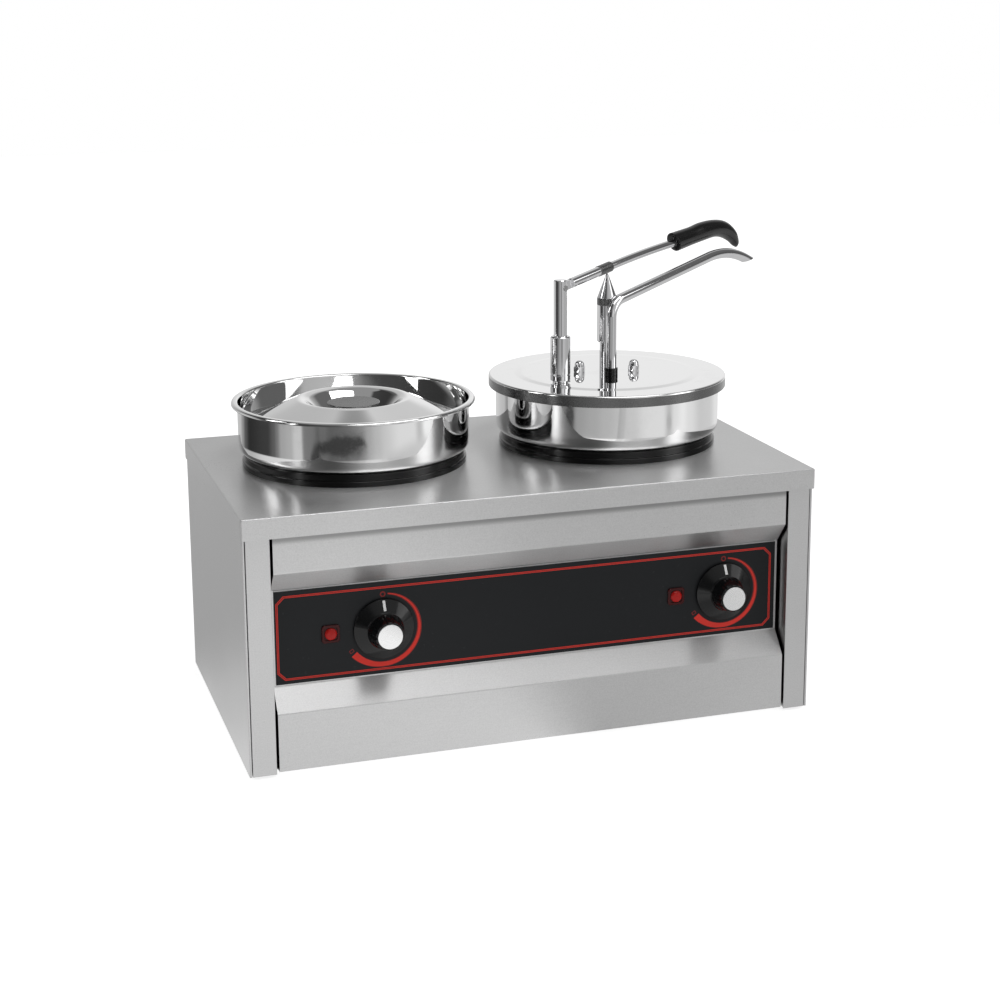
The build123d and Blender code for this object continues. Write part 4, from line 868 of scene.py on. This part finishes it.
def smooth_between(values, count):
    """Catmull-Rom curve through the rows of an array: a cubic between each pair of rows whose
    slopes are half the difference of the neighbours."""
    padded = np.concatenate([2 * values[:1] - values[1:2], values, 2 * values[-1:] - values[-2:-1]])
    t = np.linspace(0, len(values) - 1, count)
    i = np.minimum(t.astype(int), len(values) - 2)
    s = (t - i)[:, None]
    a, b, c, d = padded[i], padded[i + 1], padded[i + 2], padded[i + 3]
    return 0.5 * (2 * b + (c - a) * s + (2 * a - 5 * b + 4 * c - d) * s**2 + (3 * b - a - 3 * c + d) * s**3)


along, height, tilt, half_height, half_width = smooth_between(STATIONS, 90).T[..., None]
tilt = np.radians(tilt)
angle = np.linspace(0, 2 * np.pi, 73)[None]
oval_up, oval_side = half_height * np.sin(angle), half_width * np.cos(angle)
grip = np.stack([along - oval_up * np.sin(tilt), oval_side, height + oval_up * np.cos(tilt)], -1)
first_middle, last_middle = grip[:1].mean(1, keepdims=True), grip[-1:].mean(1, keepdims=True)
mouth = first_middle + 0 * grip[:1]
edge = grip[:1] + (first_middle - grip[:1]) * 0.12 - np.array([0.8, 0, 0])
tip = last_middle + 0 * grip[-1:] + np.array([0.3, 0, -1.0])
SOFT_EDGE = 50.0         # degrees up to which an edge is shaded smooth
handle = surface("lever_handle", np.concatenate([mouth, edge, grip, tip]), LEVER, SOFT_EDGE)
settle(handle, "lever", "grip_black", ["lever_grip"])

# %% [markdown]
# ## Knobs
# Each knob has a wide conical skirt, a fluted grip and a bright metal disc let into its front.
# The flutes could be cut with fourteen rods. A wave on the radius of the turned grip gives the
# same and keeps the mesh closed.

# %% Knobs
DIAL_Z = 117.3
PLATE_FRONT = -132.5
KNOB_X = {"left": -136.8, "right": 180.0}
SKIRT_RIM, SKIRT_TOP = (26.6, 2.6), (16.2, 8.6)
FLUTES, FLUTE_DEPTH = 14, 0.9
DISC_FOOT, DISC_R, DISC_TOP = 24.1, 10.8, 25.1


def front(x, z):
    """Place that turns an upright shape so that it points out of the control plate."""
    return HOUSING @ moved(x, PLATE_FRONT, z) @ turned_about("X", 90)


def fluted_knob():
    """Skirt and grip: the outline runs once round the axis, and between the grip's foot and its
    front the radius loses a wave with one trough for each flute."""
    skirt = [(0, 0.6), (26.4, 0.6), SKIRT_RIM, SKIRT_TOP, (15.2, 10.2)]
    grip = [(12.6, 24.6), (10.9, 24.6), (10.9, DISC_FOOT), (0, DISC_FOOT)]
    outline = rounded(skirt + grip, [0.4, 0.7, 1.2, 0.8, 0.9, 0.1, 0.05], 8)
    angle = np.linspace(0, 2 * np.pi, 281)
    r, z = outline[:, :1], outline[:, 1:]
    on_grip = np.clip((z - 10.5) / 2.0, 0, 1) * np.clip(r - 11.0, 0, 1)
    trough = np.maximum(np.cos(FLUTES * angle), 0) ** 1.5
    radius = r - FLUTE_DEPTH * on_grip * trough
    return np.stack([radius * np.cos(angle), radius * np.sin(angle), z + 0 * angle], -1)


cap_points = [(0, DISC_FOOT), (DISC_R, DISC_FOOT), (DISC_R, DISC_TOP), (0, DISC_TOP)]
cap_outline = rounded(cap_points, [0.05, 0.35], 6)
for side, x in KNOB_X.items():
    knob = surface(f"knob_{side}_body", fluted_knob(), front(x, DIAL_Z), SOFT_EDGE)
    settle(knob, f"dial_{side}", "knob_black", [f"knob_{side}"])
    cap = surface(f"knob_{side}_disc", turn(cap_outline, 96, hold=False), front(x, DIAL_Z))
    settle(cap, f"dial_{side}", "spun_aluminium", [f"knob_{side}_cap"])

# %% [markdown]
# ## Pointers
# A white line on the skirt is the pointer. On the real knob it is moulded in. Paint in the
# knob's material would blur on the export, so it is a thin bar that lies on the cone.


# %% Pointers
def strip_on_skirt(inner=17.6, outer=25.6, width=2.3, lift=0.06):
    """Thin bar on the cone of the skirt: height falls with the radius as the cone does."""
    r = np.linspace(inner, outer, 9)
    share = (r - SKIRT_TOP[0]) / (SKIRT_RIM[0] - SKIRT_TOP[0])
    z = SKIRT_TOP[1] + share * (SKIRT_RIM[1] - SKIRT_TOP[1])
    across = np.array([-0.5, -0.5, 0.5, 0.5, -0.5]) * width
    above = np.array([-0.2, lift, lift, -0.2, -0.2])
    return np.stack([across + 0 * r[:, None], r[:, None] + 0 * across, z[:, None] + above], -1)


for side, x in KNOB_X.items():
    mark = surface(f"knob_{side}_pointer", capped(strip_on_skirt()), front(x, DIAL_Z))
    settle(mark, f"dial_{side}", "pointer_white")

# %% [markdown]
# ## Lamps
# A lamp is a dark red square holder with a brighter round lens that stands proud of it. The
# holder is a turned shape whose radius follows a square, so both are made from an outline.

# %% Lamps
LAMP_X = [x - 46.2 for x in KNOB_X.values()]


def lamp_square(half=7.9, height=1.6, corner=1.2):
    """Rounded square r = half / max(|cos|, |sin|) with its corners cut to a smaller radius."""
    angle = np.linspace(0, 2 * np.pi, 129)
    square = half / np.maximum(np.abs(np.cos(angle)), np.abs(np.sin(angle)))
    reach = np.minimum(square, half * math.sqrt(2) - corner)
    share = np.array([0.0, 1.0, 1.0, 0.95, 0.80, 0.72, 0.68, 0.0])
    level = height - np.array([height, height, 0.5, 0.0, 0.0, 0.1, 0.9, 0.9])
    r = share[:, None] * reach
    return np.stack([r * np.cos(angle), r * np.sin(angle), level[:, None] + 0 * angle], -1)


lens_outline = rounded([(0, 0.3), (5.3, 0.3), (5.3, 1.6), (4.2, 3.0), (0, 3.6)], [0, 0.8, 2.0], 8)
holders = surface("lamp_holders", [lamp_square() + np.array([x, DIAL_Z, 0]) for x in LAMP_X], front(0, 0))
settle(holders, "housing", "red_bezel", ["indicator_bezels"])
lenses = surface("lamp_domes", [turn(lens_outline, 64, x, DIAL_Z) for x in LAMP_X], front(0, 0))
settle(lenses, "housing", "red_lens", ["indicator_lenses"])

# %% [markdown]
# ## Print on the control plate
# The red lines are a thin layer of ink. They could be a picture on the plate, but thin strips
# stay sharp at any size. A pair of strokes with a darker one between them runs round the plate,
# and a band that grows wider round each knob shows the setting.


# %% Ink helpers
INK = 0.05
BORDER_LEFT, BORDER_RIGHT, BORDER_TOP, BORDER_BOTTOM = 229.6, 226.9, 154.7, 79.8
BORDER_CUT = 6.5       # length of the cut at a corner, along each side


def ink(edge_a, edge_b, lift=INK):
    """Strip of ink between two edges of equal length, a little above the plate."""
    low, high = np.zeros(len(edge_a)), np.full(len(edge_a), lift)
    rows = [(edge_a, low), (edge_a, high), (edge_b, high), (edge_b, low), (edge_a, low)]
    return np.stack([np.column_stack([edge, level]) for edge, level in rows], 1)


def printed(name, strips, finish):
    """Strips of ink on the control plate, in one piece."""
    return settle(surface(name, strips, front(0, 0), 20.0), "housing", finish)


def loop_inside(by):
    """Border of the plate, moved inwards: a rectangle with cut corners, closer to the left end."""
    left, right = -BORDER_LEFT + by, BORDER_RIGHT - by
    top, bottom, cut = BORDER_TOP - by, BORDER_BOTTOM + by, BORDER_CUT - by * 0.4
    points = [(left + cut, top), (right - cut, top), (right, top - cut), (right, bottom + cut)]
    points += [(right - cut, bottom), (left + cut, bottom), (left, bottom + cut), (left, top - cut)]
    return np.array(points + points[:1])


# %% Border
border = [ink(loop_inside(a), loop_inside(b)) for a, b in ((0.0, 0.6), (1.25, 1.85))]
printed("plate_border", border, "print_red")
printed("plate_border_middle", ink(loop_inside(0.6), loop_inside(1.25), INK * 0.6), "print_red_dark")

# %% Setting scale
SCALE_ANGLES = (8, 24, 60, 95, 134, 186, 231)
SCALE_WIDTHS = (1.6, 2.2, 3.6, 4.1, 4.6, 4.8, 6.6)
CORE_WIDTHS = (0.7, 0.9, 1.7, 2.2, 3.2, 4.0, 6.0)     # the bright middle of the band


def scale_band(x, widths=SCALE_WIDTHS, lift=INK):
    """Band clockwise from the top of the dial; it grows wider from an inner radius of 30 mm."""
    degrees = np.linspace(SCALE_ANGLES[0], SCALE_ANGLES[-1], 120)
    full, width = (np.interp(degrees, SCALE_ANGLES, row)[:, None] for row in (SCALE_WIDTHS, widths))
    way = np.stack([np.sin(np.radians(degrees)), np.cos(np.radians(degrees))], 1)
    middle, radius = np.array([x, DIAL_Z]), 30.0 + full / 2
    return capped(ink(middle + way * (radius - width / 2), middle + way * (radius + width / 2), lift))


def ring_mark(x, r_out=2.5, r_in=1.4):
    """Small ring above the dial."""
    angle = np.linspace(0, 2 * np.pi, 49)
    way = np.stack([np.cos(angle), np.sin(angle)], 1)
    middle = np.array([x, DIAL_Z + 30.4])
    return ink(middle + way * r_out, middle + way * r_in)


def end_mark(x, half_w=1.5, half_h=2.0, line=0.6):
    """Small outlined bar past the wide end of the scale."""
    angle = math.radians(237.5)
    out = np.array([math.sin(angle), math.cos(angle)])
    side = np.array([math.cos(angle), -math.sin(angle)])
    middle = np.array([x, DIAL_Z]) + out * 33.4
    signs = np.array([(-1, -1), (1, -1), (1, 1), (-1, 1), (-1, -1)], float)
    across, up = signs[:, :1] * side, signs[:, 1:] * out
    return ink(*[middle + across * (half_w - by) + up * (half_h - by) for by in (0, line)])


dials = KNOB_X.values()
printed("dial_scales", [scale_band(x, CORE_WIDTHS, 1.6 * INK) for x in dials], "print_red")
printed("dial_scale_edges", [scale_band(x) for x in dials], "print_red_dark")
printed("dial_marks", [mark(x) for x in dials for mark in (ring_mark, end_mark)], "print_red_dark")

# %% [markdown]
# ## Feet
# Four rubber discs under the corners. They are low, so only their edges show: a turned outline
# with one rounded corner is enough.

# %% Feet
FOOT_X, FOOT_Y = 245.5, 132.0
foot_outline = closed([(0, 0), (6.0, 0), (6.0, 3.0), (0, 3.0)], [0, 0.8, 0, 0])
discs = [turn(foot_outline, 48, x, y) for y in (-FOOT_Y, FOOT_Y) for x in (-FOOT_X, FOOT_X)]
settle(surface("rubber_feet", discs, HOUSING), "housing", "black_rubber", ["feet"])

# %% [markdown]
# ## Floor, studio and lamps
# Shiny steel shows the studio, so the studio is part of the picture. It could be built from
# walls and cards. Here its tones depend on the direction from the warmer: bright paper behind, a
# dark side left of the camera, and a soft rise to the right. Floor and surroundings share these
# tones, so both are built from one group.

# %% Tones round the warmer
# Azimuths in degrees: 0 is behind the warmer, positive to the right, 180 is the camera's side.
NEAR_TONES = (      # floor up to a metre away
    (-180, 0.84), (-171, 1.0), (-150, 0.94), (-130, 0.88), (-110, 0.86), (-80, 0.72),
    (-50, 0.48), (-25, 0.48), (0, 0.50), (60, 0.60), (100, 0.60), (130, 0.68), (146, 0.62),
    (160, 0.58), (168, 0.58), (175, 0.70), (180, 0.84),
)
MIDDLE_TONES = (    # floor that the pots mirror, with the dark and bright stripes that show in them
    (-180, 0.60), (-163, 0.50), (-150, 0.43), (-134, 0.36), (-127, 0.18), (-119, 0.20),
    (-115, 0.22), (-112, 0.62), (-107, 0.62), (-102, 0.46), (-93, 0.40), (-88, 0.20),
    (-85, 0.12), (-77, 0.05), (-50, 0.03), (-42, 0.10), (-34, 0.32), (-27, 0.55), (0, 0.66),
    (30, 0.76), (56, 0.82), (74, 0.67), (90, 0.65), (108, 0.82), (117, 0.93), (126, 0.82),
    (133, 0.58), (140, 0.80), (155, 0.79), (172, 0.64), (180, 0.60),
)
FAR_TONES = (       # floor that the upright tubes mirror
    (-180, 0.25), (-160, 0.45), (-140, 0.25), (-118, 0.06), (-85, 0.06), (-78, 0.12),
    (-68, 0.55), (-46, 0.75), (-20, 0.55), (0, 0.62), (52, 0.95), (85, 0.55), (110, 0.45),
    (142, 0.50), (160, 0.60), (180, 0.25),
)
SKYLINE_TONES = (   # just above the floor
    (-180, 0.55), (-172, 0.35), (-163, 0.10), (-125, 0.04), (-113, 0.06), (-109, 1.0),
    (-104, 1.0), (-99, 0.10), (-70, 0.10), (-55, 0.45), (-25, 0.40), (0, 0.62), (20, 0.90),
    (40, 0.85), (52, 0.50), (64, 0.14), (100, 0.10), (107, 0.30), (112, 1.0), (136, 1.0),
    (143, 0.60), (150, 0.35), (157, 0.55), (163, 0.85), (171, 0.85), (180, 0.55),
)
HIGH_TONES = (      # above eye level
    (-180, 0.48), (-165, 0.40), (-148, 0.10), (-120, 0.07), (-45, 0.04), (-25, 0.12),
    (-12, 0.52), (0, 0.56), (25, 0.68), (40, 0.64), (55, 0.35), (68, 0.14), (108, 0.14),
    (126, 0.55), (150, 0.58), (180, 0.48),
)


def by_azimuth(tones):
    """Stops of a ramp whose middle is behind the warmer."""
    return [(0.5 + degrees / 360, tone) for degrees, tone in tones]


def azimuth_of(tree, way):
    """Angle round the vertical, from behind the warmer to the right."""
    parts = split(tree, way)
    return math_node(tree, "ARCTAN2", parts["X"], parts["Y"])


TONES = {
    "Near": NEAR_TONES, "Middle": MIDDLE_TONES, "Far": FAR_TONES,
    "Skyline": SKYLINE_TONES, "High": HIGH_TONES,
}


def build_surroundings(tree, given):
    """Tones of the floor and of the air above it, by the azimuth of a place or a direction."""
    share = spread(tree, azimuth_of(tree, given["Place"]), -math.pi, math.pi)
    return {name: ramp(tree, share, by_azimuth(tones)) for name, tones in TONES.items()}


surroundings = effect("surroundings", {"Place": (0.0, 1.0, 0.0)}, build_surroundings)

# %% [markdown]
# ## Floor
# The camera sees white paper with the warmer's soft shadow on it. Polished steel sees tones of
# the studio instead, by distance and direction. Both are one plane with two shaders, chosen by
# the kind of ray, because two planes in one place would hide each other.

# %% Floor
FLOOR_HALF = 6.0
NEAR_END, MIDDLE_START = 1.02, 1.12      # distances between which near tones become middle ones
MIDDLE_END, FAR_START = 1.45, 1.65
PAPER = 0.55                             # grey of the paper
GLOW, GLOW_START, GLOW_END = 0.82, 0.45, 1.3     # near the warmer, and where it rises to white
# Spots that only mirrors show: middle x and y, radius, width of the soft edge, tone
SPOTS = (
    (-0.99, -0.69, 0.06, 0.07, 0.06),
    (0.96, -0.89, 0.03, 0.06, 0.50),
    (0.98, -0.62, 0.05, 0.10, 1.00),
)


# The left pot mirrors a darker front than the right one, with a dark patch in it. Azimuths round
# the pot's axis, and how much darker the floor is for its rays.
LEFT_AXIS = tuple(float(v) * MM for v in (LEFT_POT @ np.array([0.0, 0.0, 270.0, 1.0]))[:3])
LEFT_FOOT = (*LEFT_AXIS[:2], 0.0)
LEFT_DARK = (
    (-180, 0.28), (-174, 0.47), (-167, 0.60), (-160, 0.68), (-153, 0.72), (-145, 0.73),
    (-138, 0.60), (-134, 0.40), (-128, 0.0), (162, 0.0), (172, 0.12), (180, 0.28),
)
DARK = grey(0.03)
PATCH_AZIMUTH, PATCH_WIDTH = math.radians(-156), math.radians(27)
PATCH_AWAY, PATCH_DEPTH = 1.200, 0.070


def floor_plane():
    """A level square grid."""
    line = np.linspace(-FLOOR_HALF, FLOOR_HALF, 13) / MM
    x, y = np.meshgrid(line, line)
    return np.stack([x, y, 0 * x], -1)


def soft_spot(tree, place, x, y, radius, edge):
    """Share that is 1 inside a circle and fades to 0 over its edge."""
    away = vector_math(tree, "DISTANCE", place, (x, y, 0.0))
    return spread(tree, away, radius, radius + edge, 1.0, 0.0, True)


def from_left_pot(tree, place):
    """Share that is 1 for rays that the left pot's wall mirrors to this place: such a ray is
    shorter than the way from the pot's axis by a little less than the wall's radius."""
    length = add(tree, "ShaderNodeLightPath").outputs["Ray Length"]
    short = math_node(tree, "SUBTRACT", vector_math(tree, "DISTANCE", place, LEFT_AXIS), length)
    rise = spread(tree, short, 0.084, 0.091, smooth=True)
    return times(tree, rise, spread(tree, short, 0.110, 0.118, 1.0, 0.0, True))


def centred(tree, value, middle, width):
    """Square of the distance from a middle, with the width as its unit, up to two widths."""
    steps = spread(tree, value, middle - 2 * width, middle + 2 * width, -2.0, 2.0)
    return times(tree, steps, steps)


def left_pot_share(tree, place):
    """How much darker the floor is for a mirrored ray: by azimuth, and in an oval patch with an
    uneven edge."""
    azimuth = azimuth_of(tree, vector_math(tree, "SUBTRACT", place, LEFT_FOOT))
    away = vector_math(tree, "DISTANCE", place, LEFT_FOOT)
    across = centred(tree, azimuth, PATCH_AZIMUTH, PATCH_WIDTH)
    oval = added(tree, across, centred(tree, away, PATCH_AWAY, PATCH_DEPTH))
    uneven = added(tree, oval, vary(tree, noise(tree, place, 7.0, 1.0), -0.2, 0.2))
    patch = spread(tree, uneven, 0.5, 1.3, 0.95, 0.0, True)
    plain = ramp(tree, spread(tree, azimuth, -math.pi, math.pi), by_azimuth(LEFT_DARK))
    return times(tree, math_node(tree, "MAXIMUM", plain, patch), from_left_pot(tree, place))


def floor_finish():
    """White paper: camera rays see a bright floor with a shadow, mirrored rays the studio tones."""
    material = bpy.data.materials.new("floor_white")
    material.use_nodes = True
    tree = material.node_tree
    tree.nodes.clear()
    place = add(tree, "ShaderNodeTexCoord").outputs["Object"]
    away = vector_math(tree, "DISTANCE", place, (0.0, 0.0, 0.0))
    around = place_effect(tree, surroundings)
    feed(tree, place, around[0].node.inputs["Place"])
    past_near = spread(tree, away, NEAR_END, MIDDLE_START, smooth=True)
    tone = blend_colours(tree, past_near, around["Near"], around["Middle"])
    past_middle = spread(tree, away, MIDDLE_END, FAR_START, smooth=True)
    tone = blend_colours(tree, past_middle, tone, around["Far"])
    for x, y, radius, edge, value in SPOTS:
        tone = blend_colours(tree, soft_spot(tree, place, x, y, radius, edge), tone, grey(value))
    tone = blend_colours(tree, left_pot_share(tree, place), tone, DARK)
    mirrored = add(tree, "ShaderNodeEmission")
    feed(tree, tone, mirrored.inputs["Color"])
    paper = add(tree, "ShaderNodeBsdfDiffuse")
    paper.inputs["Color"].default_value = grey(PAPER)
    glow = add(tree, "ShaderNodeEmission")
    strength = spread(tree, away, GLOW_START, GLOW_END, GLOW, 1.0, True)
    feed(tree, strength, glow.inputs["Strength"])
    seen = add(tree, "ShaderNodeAddShader")
    feed(tree, paper.outputs[0], seen.inputs[0])
    feed(tree, glow.outputs[0], seen.inputs[1])
    rays = add(tree, "ShaderNodeLightPath")
    choose = add(tree, "ShaderNodeMixShader")
    feed(tree, rays.outputs["Is Glossy Ray"], choose.inputs[0])
    feed(tree, seen.outputs[0], choose.inputs[1])
    feed(tree, mirrored.outputs[0], choose.inputs[2])
    out = add(tree, "ShaderNodeOutputMaterial")
    feed(tree, choose.outputs[0], out.inputs["Surface"])
    return material


floor = surface("studio_floor", floor_plane())
floor.data.materials.append(floor_finish())


# %% [markdown]
# ## Surroundings
# What stands round the floor is the world: lids, rims and tubes mirror it. A picture of a studio
# could serve, but the few tones above are all that shows, and they can be set one by one.


# %% Surroundings
HORIZON, EYE_LEVEL = 0.22, 0.45      # sines of the heights between which skyline becomes sky
CEILING_FOOT, CEILING = 0.82, 0.86


def studio_world():
    """Skyline tones up to a little above the horizon, high tones above, and a grey ceiling. The
    camera sees white."""
    world = bpy.data.worlds.new("studio")
    bpy.context.scene.world = world
    world.use_nodes = True
    tree = world.node_tree
    back = tree.nodes["Background"]
    way = add(tree, "ShaderNodeTexCoord").outputs["Generated"]
    around = place_effect(tree, surroundings)
    feed(tree, way, around[0].node.inputs["Place"])
    height = split(tree, way)["Z"]
    up = spread(tree, height, HORIZON, EYE_LEVEL, smooth=True)
    tone = blend_colours(tree, up, around["Skyline"], around["High"])
    overhead = spread(tree, height, CEILING_FOOT, CEILING, smooth=True)
    tone = blend_colours(tree, overhead, tone, grey(0.30))
    white = add(tree, "ShaderNodeLightPath").outputs["Is Camera Ray"]
    feed(tree, blend_colours(tree, white, tone, grey(1.0)), back.inputs["Color"])
    return world


studio_world()

# %% [markdown]
# ## Lamps
# Soft boxes light the brushed sheet and show as bright streaks in the polished steel. Area lamps
# do both at once. One large box in front gives the plate its bright zones, the narrow ones at the
# sides give the tubes their edges.


# %% Lamps of the studio
def soft_box(name, place, aim, width, height, brightness):
    """Rectangular lamp that looks at a point; its power follows from how bright it looks."""
    data = bpy.data.lights.new(name, "AREA")
    data.shape = "RECTANGLE"
    data.size, data.size_y = width, height
    data.energy = brightness * math.pi * width * height
    lamp = bpy.data.objects.new(name, data)
    lamp.rotation_mode = "QUATERNION"
    lamp.location = place
    lamp.rotation_quaternion = (Vector(aim) - Vector(place)).to_track_quat("-Z", "Y")
    bpy.context.scene.collection.objects.link(lamp)
    print(name, round(data.energy, 1), "W")


WARMER = (0.0, 0.0, 0.25)
# name, place, what it looks at, width, height, brightness
soft_box("front_box", (0.32, -0.55, 1.95), (0.15, -0.25, 0.25), 1.55, 0.56, 3.2)
soft_box("right_box", (1.85, -0.65, 1.75), WARMER, 0.7, 1.0, 1.8)
soft_box("left_box", (-1.9, 0.25, 1.35), WARMER, 0.40, 0.95, 4.0)
soft_box("streak_box", (-1.91, -0.60, 0.85), WARMER, 0.13, 0.9, 3.0)
soft_box("side_box", (1.68, -1.09, 0.85), WARMER, 0.70, 0.9, 1.2)
